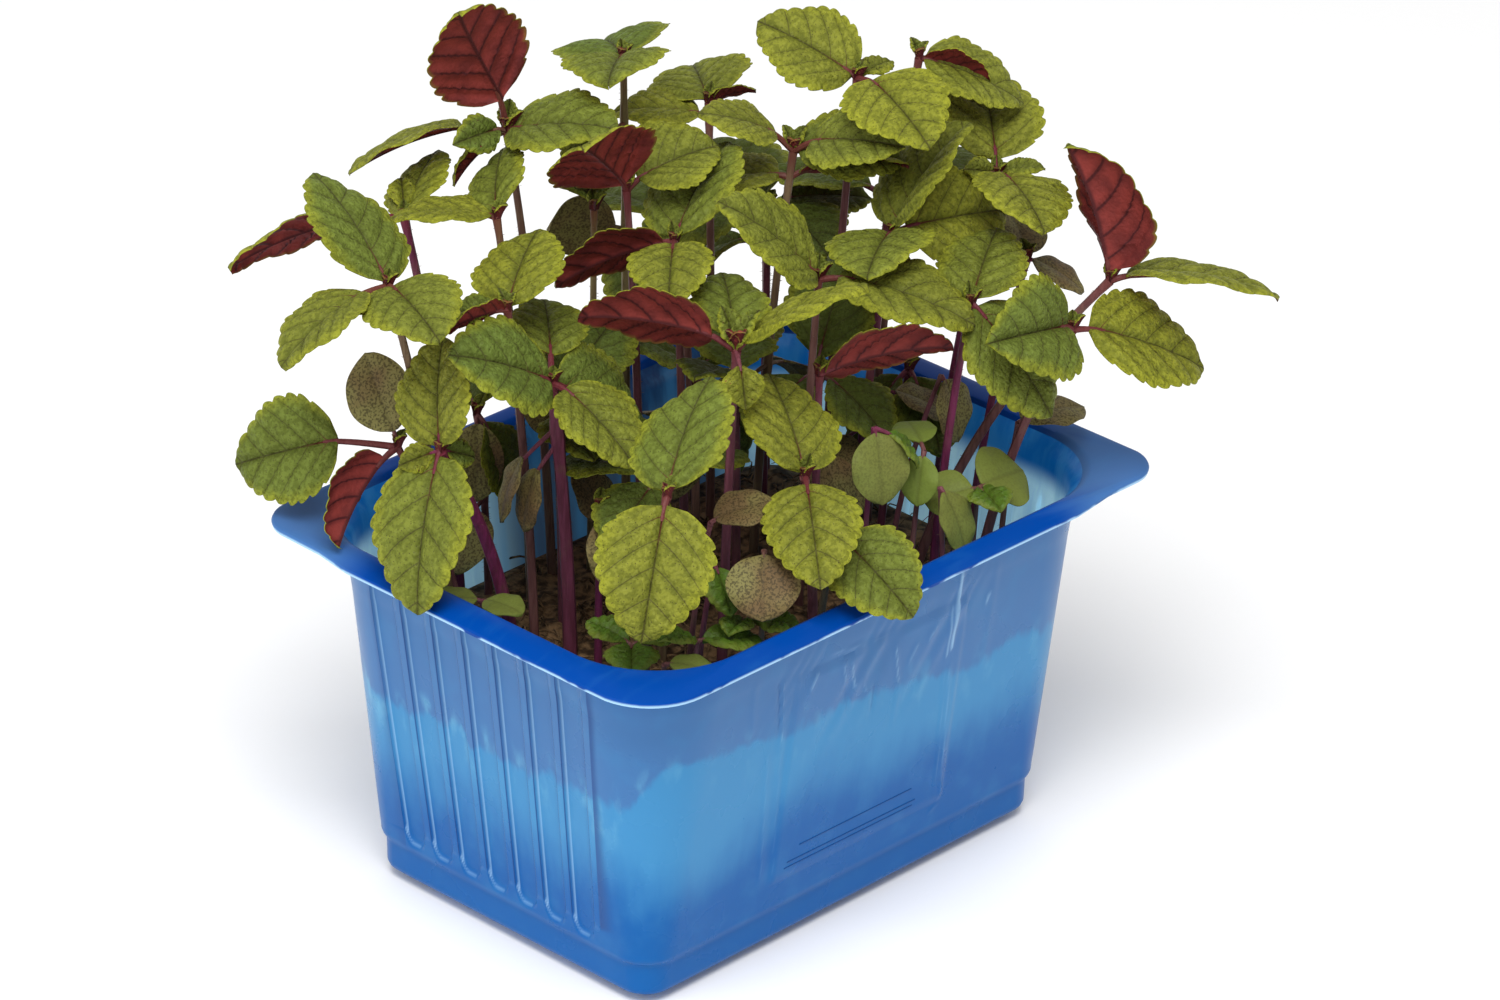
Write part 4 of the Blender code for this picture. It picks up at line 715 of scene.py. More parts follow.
def under_finish(look):
    """Lower face: maroon between raised dark veins, greener at the margin."""
    finish = Finish("leaf_underside", 0.6, 0.12, look.under)
    finish.over(look.under_vein_and_shade, finish.noise(260.0, 4.0, 0.35, 0.7), 0.5)
    finish.over(look.under_vein_and_shade, finish.span(finish.off_whole(finish.value("vein")), 0.0, 0.3, 0.35, 0.0))
    finish.over(look.under_vein_and_shade, vein_share(finish, 0.35, 0.06), 0.85)
    finish.over(look.leaf, finish.span(finish.value("across"), 0.9, 1.0), 0.35)
    finish.bump(finish.cells(900.0, "DISTANCE_TO_EDGE"), 0.3, 0.5)
    return finish.done()


def seed_leaf_finish(look):
    """Round first leaves: light green or, where they are older, brown with fine speckling."""
    finish = Finish("seed_leaf", 0.55, 0.15, look.seed_green)
    tone = finish.value("tone")
    finish.over(finish.mix(finish.noise(110.0, 3.0, 0.35, 0.7), look.seed_leaf, look.seed_brown), tone)
    specks = finish.times(finish.noise(2400.0, 4.0, 0.46, 0.6), finish.span(tone, 0.2, 1.0, 0.12, 0.7))
    finish.over(look.vein, specks)
    finish.over(look.vein, finish.span(finish.value("rib"), 0.1, 0.6, 0.2, 0.0))
    finish.bump(finish.noise(700.0, 4.0), 0.3, 0.5)
    return finish.done()


def young_leaf_finish(look):
    """Small crinkled leaves near the medium: fresh green with darker veins."""
    finish = Finish("young_leaf", 0.5, 0.2, look.young)
    finish.over(look.leaf_mottle_and_shade, finish.noise(700.0, 4.0, 0.35, 0.65), 0.5)
    finish.over(look.leaf, finish.span(finish.value("across"), 0.6, 1.0), 0.4)
    finish.over(look.leaf_mottle_and_shade, vein_share(finish, 0.15, 0.04), 0.45)
    finish.bump(finish.cells(1100.0, "DISTANCE_TO_EDGE"), 0.35, 0.6)
    return finish.done()


def stem_finish(look):
    """Stems and petioles: green-brown to magenta, streaked along their length, with painted shade near the
    medium.
    """
    finish = Finish("stem_skin", 0.45, 0.2, look.stem_green)
    streaks = finish.noise((1500.0, 1500.0, 130.0), 4.0, 0.35, 0.65)
    finish.over(look.stem_purple, finish.value("tone"))
    finish.over(look.under_vein_and_shade, streaks, 0.45)
    finish.over(look.stem_green, finish.noise(220.0, 3.0, 0.5, 0.75), 0.18)
    finish.over(look.vein_base, finish.value("tint"))
    # Painted shade: the stems darken towards the medium, down in the punnet.
    finish.over(look.under_vein_and_shade, finish.span(finish.axis("Z"), 46.0, 72.0, 0.35, 0.0))
    finish.bump(streaks, 0.12, 0.5)
    return finish.done()


def plastic_finish(look):
    """Outer wall: the plastic's blue greyed above the medium by painted shade of the dark inside seen
    through it, a bright damp band with a ragged top, deeper blue below.
    """
    finish = Finish("punnet_wall", 0.3, 0.2, look.lower)
    height, along = finish.axis("Z"), finish.axis("X")
    end = finish.span(along, -50.0, -56.0)
    ragged = finish.maths("SUBTRACT", finish.noise((420.0, 420.0, 90.0), 5.0), 0.5)
    cloud = finish.noise(55.0, 5.0)
    level = height
    for source, rise in ((ragged, 6.0), (finish.maths("SUBTRACT", cloud, 0.5), 14.0), (along, 0.088),
                         (end, 10.5)):
        level = finish.plus(level, finish.times(source, rise))
    corner = finish.times(finish.span(along, -15.0, -45.0), finish.span(end, 0.0, 1.0, 11.0, 0.0))
    finish.over(look.middle, finish.span(finish.plus(level, corner), 22.0, 39.0))
    # Painted shade: the wall above the medium is greyer, for the dark inside behind it.
    finish.over(look.upper, finish.span(level, 44.5, 47.0))
    damp = finish.times(finish.span(level, 34.0, 44.0), finish.span(level, 52.0, 46.0))
    damp = finish.times(damp, finish.span(end, 0.0, 1.0, 0.35, 0.8))
    finish.over(look.pale, finish.times(finish.noise((260.0, 260.0, 110.0), 5.0, 0.5, 0.72), damp))
    finish.over(look.middle, finish.noise(140.0, 4.0, 0.45, 0.75), 0.2)
    finish.over(look.lower, finish.span(height, 9.5, 7.5), 0.6)
    # Painted highlights and painted shade lines of the flutes, lip, side lines and creases, carried by each
    # point's shine.
    shine = finish.value("rib")
    finish.over(look.gleam, finish.span(shine, 0.15, 1.0), 0.6)
    finish.over(look.shade_line_and_bar, finish.span(shine, -0.1, -1.0), 0.8)
    finish.bump(finish.noise(60.0, 3.0), 0.5, 0.15)
    finish.rough(finish.span(cloud, 0.3, 0.7, 0.24, 0.36))
    return finish.done()


def flange_finish(look):
    """Flange: saturated blue lip that fades to a paler satin on the ears, with a broken painted highlight
    along its edge.
    """
    finish = Finish("punnet_flange", 0.3, 0.07, look.flange)
    ear = finish.value("tone")
    finish.over(look.ear, ear)
    finish.over(look.middle, finish.noise((90.0, 340.0, 90.0), 4.0, 0.5, 0.8), 0.1)
    # Painted highlight: a broken bright line along the lip's outer edge, where it catches the light.
    painted_edge_highlight = finish.times(finish.value("rib"), finish.noise(130.0, 3.0, 0.2, 0.5))
    finish.over(look.gleam, finish.span(painted_edge_highlight, 0.3, 0.8), 0.9)
    finish.bump(finish.noise(90.0, 3.0), 0.4, 0.12)
    finish.rough(finish.span(ear, 0.0, 1.0, 0.28, 0.42))
    return finish.done()


def inside_finish(look):
    """Inner wall: dark under the flange, then bright and wet, with a glow for the light let through."""
    finish = Finish("punnet_inside", 0.3, 0.3, look.inside_top)
    along = finish.axis("X")
    finish.over(look.inside, finish.span(finish.axis("Z"), 66.0, 61.0))
    middle = finish.times(finish.span(along, -24.0, -6.0), finish.span(along, 54.0, 38.0, 0.0, 0.93))
    finish.over(look.shade, finish.times(middle, finish.span(finish.axis("Y"), 0.0, 30.0)))
    streaks = finish.noise((260.0, 260.0, 25.0), 4.0, 0.35, 0.7)
    finish.over(look.middle, streaks, 0.4)
    finish.link(finish.base, finish.shader.inputs["Emission Color"])
    finish.link(look.glow, finish.shader.inputs["Emission Strength"])
    finish.bump(streaks, 0.2, 0.3)
    return finish.done()


def fibre_finish(look):
    """Damp brown plant fibre."""
    finish = Finish("medium_fibre", 0.85, 0.2, look.dark)
    finish.over(look.light, finish.noise(500.0, 6.0, 0.35, 0.65))
    finish.bump(finish.noise(1200.0, 5.0), 0.5, 0.8)
    return finish.done()


# Material slots of a plant, in this order.
FOLIAGE_FINISHES = {"stem_skin": stem_finish, "leaf_upper": leaf_finish, "leaf_underside": under_finish,
                    "seed_leaf": seed_leaf_finish, "young_leaf": young_leaf_finish}
UPPER_FACE, LOWER_FACE, SEED_FACE, YOUNG_FACE = 1, 2, 3, 4


# Punnet


def fine_profile(rows, step, low_step):
    """Profile rows with the long spans filled in, so that no ring lies further apart than a step."""
    filled = [np.array(rows[0], dtype=float)]
    for row in rows[1:]:
        row = np.array(row, dtype=float)
        last = filled[-1]
        near = low_step if row[4] < FINE_TOP else step
        count = max(1, math.ceil(abs(row[4] - last[4]) / near))
        filled += [last + (row - last) * k / count for k in range(1, count + 1)]
    return filled


def ear_gap(x, y):
    """How far a point of the flange lies from the tip of the nearer ear."""
    return min(math.hypot(x - FLANGE_X * sx, y - FLANGE_Y * sy) for sx, sy in EAR_CORNERS)


def lip_drop(x, y, share):
    """How far the lip falls at its outer edge on the two sides away from the flat ears."""
    if x / FLANGE_X + y / FLANGE_Y > 0:
        return 0.0
    return share * LIP_DROP * min(1.0, max(0.0, (ear_gap(x, y) - EAR_FLAT) / LIP_BLEND))


def flute_foot(share, height):
    """How much of a flute's depth is reached at a height, and the shine of its rounded lower end."""
    across = min(abs(share - FLUTE_MIDDLE) / FLUTE_HALF, 1.0)
    low = FLUTE_LOW + FLUTE_ROUND * across ** 4
    reached = float(smooth(low, low + FLUTE_DEEPENS, height))
    rim = FLUTE_RIM_RIGHT if share > FLUTE_RIM_TURN else FLUTE_RIM_LEFT
    return reached, rim * 4 * reached * (1 - reached)


def punnet_ring(row, depth):
    """One closed ring, counter-clockwise from the +X side, as points with their shine."""
    half_x, half_y, ear, plain, height, reach, flute, drop = row
    radius = {(sx, sy): ear if (sx, sy) in EAR_CORNERS else plain for sx in (-1, 1) for sy in (-1, 1)}
    glints = [shine for top, shine in LIP_GLINTS if drop == 1 and height < top]
    edge = glints[0] if glints else 0.0

    def x_side(sx):
        line = []
        for k in range(FLUTES):
            for share, back, shine in FLUTE_SHAPE:
                reached, rim = flute_foot(share, height)
                y = reach * (2 * (k + share) / FLUTES - 1)
                line.append((y, back * reached, min(1.0, shine * reached + rim)))
        line.append((reach, 0.0, FLUTES_END_SHINE))
        points = []
        for y, back, shine in line:
            corner = radius[(-1, 1 if y > 0 else -1)]
            past = max(0.0, abs(y) - (half_y - corner))
            inset = corner - math.sqrt(corner ** 2 - past ** 2) + depth * flute * back
            points.append((sx * (half_x - inset), -sx * y, edge or shine * flute))
        return points[::-sx]

    def corner(sx, sy):
        size = radius[(sx, sy)]
        start = math.asin(max(0.0, reach - (half_y - size)) / size)
        angles = [start + (math.pi / 2 - start) * step / CORNER_STEPS for step in range(1, CORNER_STEPS + 1)]
        return [(sx * (half_x - size + size * math.cos(angle)),
                 sy * (half_y - size + size * math.sin(angle)), edge) for angle in angles]

    def y_side(sy):
        low, high = -(half_x - radius[(-1, sy)]), half_x - radius[(1, sy)]
        return [(low + (high - low) * k / SIDE_STEPS, sy * half_y, edge) for k in range(1, SIDE_STEPS)]

    ring = x_side(1) + corner(1, 1) + y_side(1)[::-1] + corner(-1, 1)[::-1]
    ring += x_side(-1)[::-1] + corner(-1, -1) + y_side(-1) + corner(1, -1)[::-1]
    return [(x, y, height - lip_drop(x, y, drop), shine) for x, y, shine in ring]


def panel_relief(x, y, z, half_y, wrinkle):
    """How far a wall point stands out over a side panel, with the soft wrinkles near its top."""
    if abs(y) < half_y - 0.05:
        return 0.0
    across = smooth(PANEL_HALF + PANEL_EDGE, PANEL_HALF - PANEL_EDGE, abs(x))
    up = smooth(PANEL_LOW - PANEL_EDGE, PANEL_LOW + PANEL_EDGE, z)
    up *= smooth(PANEL_HIGH + PANEL_EDGE, PANEL_HIGH - PANEL_EDGE, z)
    along = math.copysign(x, x * y)
    creases = math.sin(0.55 * along + 0.35 * z + 2.2 * math.sin(0.21 * z + 0.3 * along))
    creases *= smooth(*WRINKLE_LOW, z) * smooth(*WRINKLE_HIGH, z) * smooth(*WRINKLE_REACH, abs(x))
    return float(PANEL_PROUD * across * up + wrinkle * creases)


def side_lines(points):
    """How far the moulded lines and creases of the long sides stand out, and their shine."""
    side = -np.sign(points[:, 1])
    along, height = points[:, 0] * side, points[:, 2]
    proud, shine = np.zeros(len(points)), np.zeros(len(points))
    for x0, z0, x1, z1, half, stand, light in SIDE_LINES:
        run, rise = x1 - x0, z1 - z0
        share = np.clip(((along - x0) * run + (height - z0) * rise) / (run ** 2 + rise ** 2), 0, 1)
        gap = np.hypot(along - x0 - run * share, height - z0 - rise * share)
        near = np.exp(-(gap / half) ** 2) * smooth(0.0, LINE_FADE, share) * smooth(1.0, 1 - LINE_FADE, share)
        proud += stand * near
        shine += light * near
    return proud, np.clip(shine, -1, 1)


class SHISO_OT_punnet(bpy.types.Operator):
    """Mould the punnet: fluted ends, side panels, flat flange with two ears, and a raised foot"""
    bl_idname = "shiso.punnet"
    bl_label = "Punnet"

    def execute(self, context):
        look = context.scene.shiso_punnet
        finishes = (plastic_finish(look), flange_finish(look), inside_finish(look))
        shape = Shape()
        add_shell(shape, look.flute_depth / MM, look.wrinkle / MM)
        deliver(shape.build("punnet", finishes, 32.0), "tub_plastic", "tub")
        foot = Shape()
        add_foot(foot)
        for side in (-1, 1):
            for bar in SIDE_BARS:
                add_bar(foot, bar, side)
        deliver(foot.build("punnet_foot", finishes[:1]), "tub_plastic", "tub")
        return {"FINISHED"}


def add_shell(shape, depth, wrinkle):
    """The punnet's wall, up outside, over the flange and down inside, closed by its floor."""
    outer = fine_profile(OUTER, WALL_STEPS, FINE_STEPS)
    inner = fine_profile(INNER, WALL_STEPS * 2, WALL_STEPS * 2)
    points, tones = [], []
    for index, row in enumerate(outer + inner):
        for x, y, z, shine in punnet_ring(row, depth):
            if index < len(outer) and z < WALL_TOP:
                y += math.copysign(panel_relief(x, y, z, row[1], wrinkle), y)
            points.append((x, y, z, shine))
            tones.append(float(smooth(*EAR_FADE, ear_gap(x, y))))
    points = np.array(points)
    rings = len(outer) + len(inner)
    count = len(points) // rings
    flat = (np.arange(len(points)) < len(outer) * count) & (points[:, 2] < WALL_TOP)
    flat &= (np.abs(points[:, 0]) < SIDE_REACH) & (np.abs(points[:, 1]) > SIDE_FROM)
    proud, light = side_lines(points[flat])
    points[flat, 1] += np.sign(points[flat, 1]) * proud
    points[flat, 3] += light
    faces = closed_faces(rings, count)
    shape.add(points[:, :3], faces, 0, tone=np.array(tones), rib=points[:, 3])
    lip_start = next(k for k, row in enumerate(outer) if row[4] > LIP_START) * count
    lip_end = (len(outer) + 2) * count
    shape.slots = [int(min(face) >= lip_start) + int(min(face) >= lip_end) for face in faces]


def add_foot(shape):
    """The low flat foot in the middle of the underside, which the punnet stands on."""
    rings = [[(x, y, height) for x, y in rounded_outline(FOOT_X - inset, FOOT_Y - inset, FOOT_CORNER - inset,
                                                        FOOT_ARC, 1)] for height, inset in FOOT_EDGE]
    shape.add(rings, closed_faces(len(rings), len(rings[0])), 0)


def add_bar(shape, bar, side):
    """A thin dark line raised on one long side."""
    x0, z0, x1, z1 = bar
    wall_rows = OUTER[:WALL_ROWS]
    heights, halves = [row[4] for row in wall_rows], [row[1] for row in wall_rows]
    points = []
    for x, z in ((x0, z0), (x1, z1)):
        for up, out in BAR_SECTION:
            height = z + up * BAR_HALF
            wall = float(np.interp(height, heights, halves))
            points.append((-side * x, side * (wall + PANEL_PROUD + out * BAR_PROUD), height))
    shape.add(points, closed_faces(2, len(BAR_SECTION)), 0, rib=-1.0)


# Growing medium


class SHISO_OT_medium(bpy.types.Operator):
    """Fill the punnet with a lumpy block of fibre and strew loose fibres on it"""
    bl_idname = "shiso.medium"
    bl_label = "Growing medium"

    def execute(self, context):
        look = context.scene.shiso_medium
        relief = look.relief / MM
        draw = random.Random(11)
        rings = []
        for half_x, half_y, radius, height in MEDIUM_RINGS:
            outline = rounded_outline(half_x, half_y, radius, MEDIUM_ARC, MEDIUM_SIDE)
            rings.append([(x, y, height) for x, y in outline])
        half_x, half_y, radius, _ = MEDIUM_RINGS[-1]
        for k in range(1, MEDIUM_RIMS):
            share = 1 - k / MEDIUM_RIMS
            outline = rounded_outline(half_x * share, half_y * share, radius * share, MEDIUM_ARC, MEDIUM_SIDE)
            rings.append([(x, y, MEDIUM_TOP + medium_lump(x, y, relief)) for x, y in outline])
        shape = Shape()
        shape.add(rings, closed_faces(len(rings), len(rings[0])), 0)
        for _ in range(look.fibres):
            add_fibre(shape, draw, half_x - FIBRE_INSET, half_y - FIBRE_INSET, look.fibre_length / MM, relief)
        deliver(shape.build("medium", (fibre_finish(look),), 60.0), "growing_medium", "growing_medium")
        return {"FINISHED"}


def medium_lump(x, y, relief):
    """Height of the medium's top over its mean, from a few crossed waves."""
    wave = math.sin(0.71 * x + 1.3 * math.sin(0.37 * y)) + math.sin(0.83 * y + 1.1 * math.sin(0.43 * x))
    return relief * (0.22 * wave + 0.12 * math.sin(1.9 * x + 0.7 * y) * math.sin(1.7 * y - 0.6 * x))


def add_fibre(shape, draw, half_x, half_y, length, relief):
    """One loose curved fibre lying on the medium."""
    x, y = draw.uniform(-half_x, half_x), draw.uniform(-half_y, half_y)
    heading, bend = draw.uniform(0, 2 * math.pi), draw.uniform(-0.5, 0.5)
    length, thick = length * draw.uniform(0.4, 1.3), draw.uniform(0.1, 0.28)
    steps = FIBRE_POINTS - 1
    line = []
    for k in range(FIBRE_POINTS):
        hop = draw.uniform(0, 0.3) * k * (steps - k)
        line.append((x, y, MEDIUM_TOP + medium_lump(x, y, relief) + FIBRE_LIFT + hop))
        x += math.cos(heading) * length / steps
        y += math.sin(heading) * length / steps
        heading += bend
    radii = [thick * (0.4 + 0.6 * math.sin(math.pi * (k + 0.5) / FIBRE_POINTS)) for k in range(FIBRE_POINTS)]
    add_tube(shape, line, radii, 4)


def add_tube(shape, line, radii, sides, lobes=0.0, **values):
    """A closed tube along a line, in the first slot; lobes gives it the four shoulders of a shiso stem."""
    line = np.asarray(line, dtype=float)
    ahead = np.gradient(line, axis=0)
    ahead /= np.linalg.norm(ahead, axis=1)[:, None]
    side = np.cross(ahead, (0.0, 1.0, 0.0) if abs(ahead[0][1]) < 0.9 else (1.0, 0.0, 0.0))
    side /= np.linalg.norm(side, axis=1)[:, None]
    other = np.cross(ahead, side)
    angles = 2 * math.pi * np.arange(sides) / sides
    swell = 1 + lobes * np.cos(4 * angles)
    around = side[:, None, :] * (np.cos(angles) * swell)[None, :, None]
    around = around + other[:, None, :] * (np.sin(angles) * swell)[None, :, None]
    points = line[:, None, :] + around * np.asarray(radii, dtype=float)[:, None, None]
    shape.add(points, closed_faces(len(line), sides, flip=True), 0, **values)


# Plants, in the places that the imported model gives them


def stem_point(root, crown, share):
    """A point on the stem's curve: it rises upright and leans over towards its crown."""
    low = np.array((root[0], root[1], MEDIUM_TOP + COLLAR), dtype=float)
    high = np.array(crown, dtype=float)
    bend = low + (high - low) * np.array((STEM_BEND_OUT, STEM_BEND_OUT, STEM_BEND_UP))
    return low * (1 - share) ** 2 + bend * (2 * share * (1 - share)) + high * share ** 2


def blade_axes(heading, pitch, roll):
    """Unit vectors along a blade, to its left and out of its upper face."""
    heading, pitch, roll = math.radians(heading), math.radians(pitch), math.radians(roll)
    along = np.array((math.cos(pitch) * math.cos(heading), math.cos(pitch) * math.sin(heading),
                      math.sin(pitch)))
    level = np.array((-math.sin(heading), math.cos(heading), 0.0))
    upper = np.cross(along, level)
    left = level * math.cos(roll) + upper * math.sin(roll)
    return along, left, upper * math.cos(roll) - level * math.sin(roll)


def plain_half_width(leaf, share):
    """Half width of the blade's plain outline at a share of its length."""
    first, second = OUTLINE[leaf[0]]
    return leaf[6] / 2 * np.maximum(0.0, np.sin(math.pi * np.power(share, first))) ** second


def blade_surface(base, axes, leaf, share, y):
    """Points of the blade's middle surface and its upward normals, at share along and y to the left."""
    along, left, upper = axes
    length, width, fold = leaf[5], leaf[6], leaf[8]
    bend = DROOP * share
    rise = math.tan(math.radians(fold)) * (np.abs(y) - FOLD_EASE * y * y / width)
    x = length * np.sin(bend) / DROOP + np.sin(bend) * rise
    z = np.cos(bend) * rise - length * (1 - np.cos(bend)) / DROOP
    point = base + x[..., None] * along + y[..., None] * left + z[..., None] * upper
    normal = np.cos(bend)[..., None] * upper + np.sin(bend)[..., None] * along
    return point, normal


def blade_base(start, leaf):
    """Where the petiole ends and the blade begins."""
    rise = blade_axes(leaf[2], min(leaf[3] + PETIOLE_RISE, PETIOLE_STEEPEST), 0.0)[0]
    return start + rise * leaf[7]


def plain_blade(start, leaf, thickness):
    """The blade as a few flat triangles: the form that finds its place clear of its neighbours."""
    axes = blade_axes(leaf[2], leaf[3], leaf[4])
    base = blade_base(start, leaf)
    _, left, upper = axes
    points = []

    def both(point, normal):
        points.append(point + normal * thickness / 2)
        points.append(point - normal * thickness / 2)
        return len(points) - 2

    def on_blade(share, reach):
        y = reach * plain_half_width(leaf, share)
        point, normal = blade_surface(base, axes, leaf, np.array([share]), np.array([y]))
        return both(point[0], normal[0])

    root_l, root_r, base_l, base_r = (both(middle + left * PETIOLE_HALF * turn, upper)
                                      for middle in (start, base) for turn in (1, -1))
    ribs = [on_blade(share, 0.0) for share in MIDRIB]
    tip = on_blade(1.0, 0.0)
    margin = MARGIN[leaf[0]]
    sides = [[on_blade(share, turn * reach) for share, reach in margin] for turn in (1, -1)]
    upper_faces = [(root_l, root_r, base_r, base_l), (base_l, base_r, ribs[0])]
    split = sum(1 for share, _ in margin if share < MIDRIB_SPLIT)
    for edge, first, flip in ((sides[0], base_l, False), (sides[1], base_r, True)):
        fan = [(ribs[0], a, b) for a, b in zip([first] + edge[:split - 1], edge[:split])]
        fan.append((ribs[0], edge[split - 1], ribs[1]))
        fan += [(ribs[1], a, b) for a, b in zip(edge[split - 1:], edge[split:] + [tip])]
        upper_faces += [face[::-1] if flip else face for face in fan]
    faces = upper_faces + [tuple(index + 1 for index in face[::-1]) for face in upper_faces]
    outline = [root_l, base_l] + sides[0] + [tip] + sides[1][::-1] + [base_r, root_r]
    for first, second in zip(outline, outline[1:] + outline[:1]):
        faces.append((first, second, second + 1, first + 1))
    return points, faces


def plain_stem(root, crown, radius):
    """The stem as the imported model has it, with five flat sides."""
    shares = [k / STEM_STEPS for k in range(STEM_STEPS + 1)]
    line = [np.array((root[0], root[1], MEDIUM_TOP - ROOT_DEPTH))]
    line += [stem_point(root, crown, share) for share in shares]
    radii = [radius] + [radius * (1 - (1 - STEM_TAPER) * share) for share in shares]
    points = []
    for index, centre in enumerate(line):
        ahead = line[min(index + 1, len(line) - 1)] - line[max(index - 1, 0)]
        side = np.cross(ahead, (0.0, 1.0, 0.0))
        side /= np.linalg.norm(side)
        other = np.cross(ahead / np.linalg.norm(ahead), side)
        for k in range(STEM_SIDES):
            angle = 2 * math.pi * k / STEM_SIDES
            points.append(centre + (side * math.cos(angle) + other * math.sin(angle)) * radii[index])
    return points, closed_faces(len(line), STEM_SIDES)


def tree_of(points, faces):
    """A shape's lowest and highest corners with a tree of its faces."""
    points = np.asarray(points, dtype=float)
    tree = BVHTree.FromPolygons(points.tolist(), [tuple(int(i) for i in face) for face in faces])
    return points.min(axis=0), points.max(axis=0), tree


def crosses(trial, placed, own):
    """Whether a shape meets another plant or the punnet, or dips to the growing medium."""
    low, high, tree = trial
    for name, (other_low, other_high, other) in placed:
        if name != own and (low < other_high).all() and (high > other_low).all():
            if tree.overlap(other):
                return True
    return low[2] < MEDIUM_TOP + COLLAR


def settle(name, start, leaf, placed):
    """Turn a leaf by the smallest trial step that hangs it clear of every other plant."""
    for turn, lift in TRIALS:
        tried = leaf[:2] + (leaf[2] + turn, leaf[3] + lift) + leaf[4:]
        if not crosses(tree_of(*plain_blade(start, tried, BLADE + 2 * CLEARANCE)), placed, name):
            return tried
    return leaf


@functools.cache
def settled_plants():
    """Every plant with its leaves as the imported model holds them."""
    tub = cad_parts["tub"].data
    corners = [tuple(c / MM for c in v.co) for v in tub.vertices]
    placed = [("tub", tree_of(corners, [tuple(p.vertices) for p in tub.polygons]))]
    placed += [(name, tree_of(*plain_stem(root, crown, radius))) for name, root, crown, radius, _ in PLANTS]
    plants = []
    for name, root, crown, radius, leaves in PLANTS:
        settled = []
        for leaf in leaves:
            start = stem_point(root, crown, leaf[1])
            settled.append(settle(name, start, leaf, placed))
            placed.append((name, tree_of(*plain_blade(start, settled[-1], BLADE))))
        plants.append((name, root, crown, radius, settled))
    return plants


# Fine leaves


def leaf_style(leaf, look):
    """Teeth a side, tooth height, quilting height and thickness of a leaf, in millimetres."""
    kind, length = leaf[0], leaf[5]
    tooth, quilting, sheet = (size / MM for size in (look.tooth, look.quilting, look.sheet))
    grown = min(MOST_GROWN, length / FULL_LEAF)
    if kind == "seed":
        return 0, 0.0, SEED_QUILTING, sheet * SEED_SHEET
    if kind == "young" and length < SMALL_LEAF:
        return YOUNG_TEETH, tooth * grown, quilting * YOUNG_QUILTING, sheet * YOUNG_SHEET
    return look.teeth, tooth * grown, quilting * grown, sheet


def blade_grid(leaf, teeth):
    """Shares of a blade's length, one for each row, and of its half width, one for each column."""
    kind, length = leaf[0], leaf[5]
    steps = teeth * (TINY_TOOTH_ROWS if length < TINY_LEAF else TOOTH_ROWS) if teeth else PLAIN_ROWS
    half = ACROSS if kind == "leaf" and length >= SMALL_LEAF else ACROSS[:1] + ACROSS[1::2]
    return np.linspace(0.0, 1.0, steps + 1) ** ROW_SHIFT, np.array([-v for v in half[:0:-1]] + list(half))


def tooth_height(phase):
    """How far the margin stands out, from 0 in a notch to 1 on a tooth, teeth leaning to the tip."""
    phase = np.mod(phase, 1.0)
    fall = np.clip((phase - TOOTH_RISE) / (1 - TOOTH_RISE), 0.0, 1.0)
    return np.where(phase < TOOTH_RISE, np.sin(phase / TOOTH_RISE * math.pi / 2) ** TOOTH_ROUND,
                    np.cos(fall * math.pi / 2) ** TOOTH_DROP)


def toothed_outline(leaf, teeth, tooth, share, v):
    """Where each point of a blade lies: its share of the length, and its distance to the left."""
    u, v = np.meshgrid(share, v, indexing="ij")
    full = 1.0 + (PLUMP * np.sin(math.pi * share) + PLUMP_TIP * share if teeth else 0.0)
    half = np.maximum(plain_half_width(leaf, share) * full, PETIOLE_HALF * (1 - share) ** 3 + TIP_HALF)
    y = v * half[:, None]
    if teeth:
        edge = smooth(0.55, 1.0, np.abs(v))
        stand = (tooth_height(np.linspace(0.0, teeth, len(share))) - TOOTH_MEAN) * tooth
        fade = smooth(0.0, 0.12, share) * smooth(1.0, 0.93, share)
        y += np.sign(v) * edge * (stand * fade)[:, None]
        lean = TOOTH_LEAN * smooth(0.0, 0.1, share) * smooth(1.0, 0.85, share)
        u = np.clip(u + edge * lean[:, None], 0, 1)
    return u, v, y


def vein_phase(u, rib, length):
    """A number that is whole on each side vein, which slants and arches from the midrib to the tip."""
    sweep = rib / length
    phase = u - VEIN_LEAN * sweep - VEIN_ARCH * sweep ** 2
    return VEIN_PAIRS * np.power(np.clip(phase + VEIN_START, 0.0, 2.0), VEIN_CROWD)


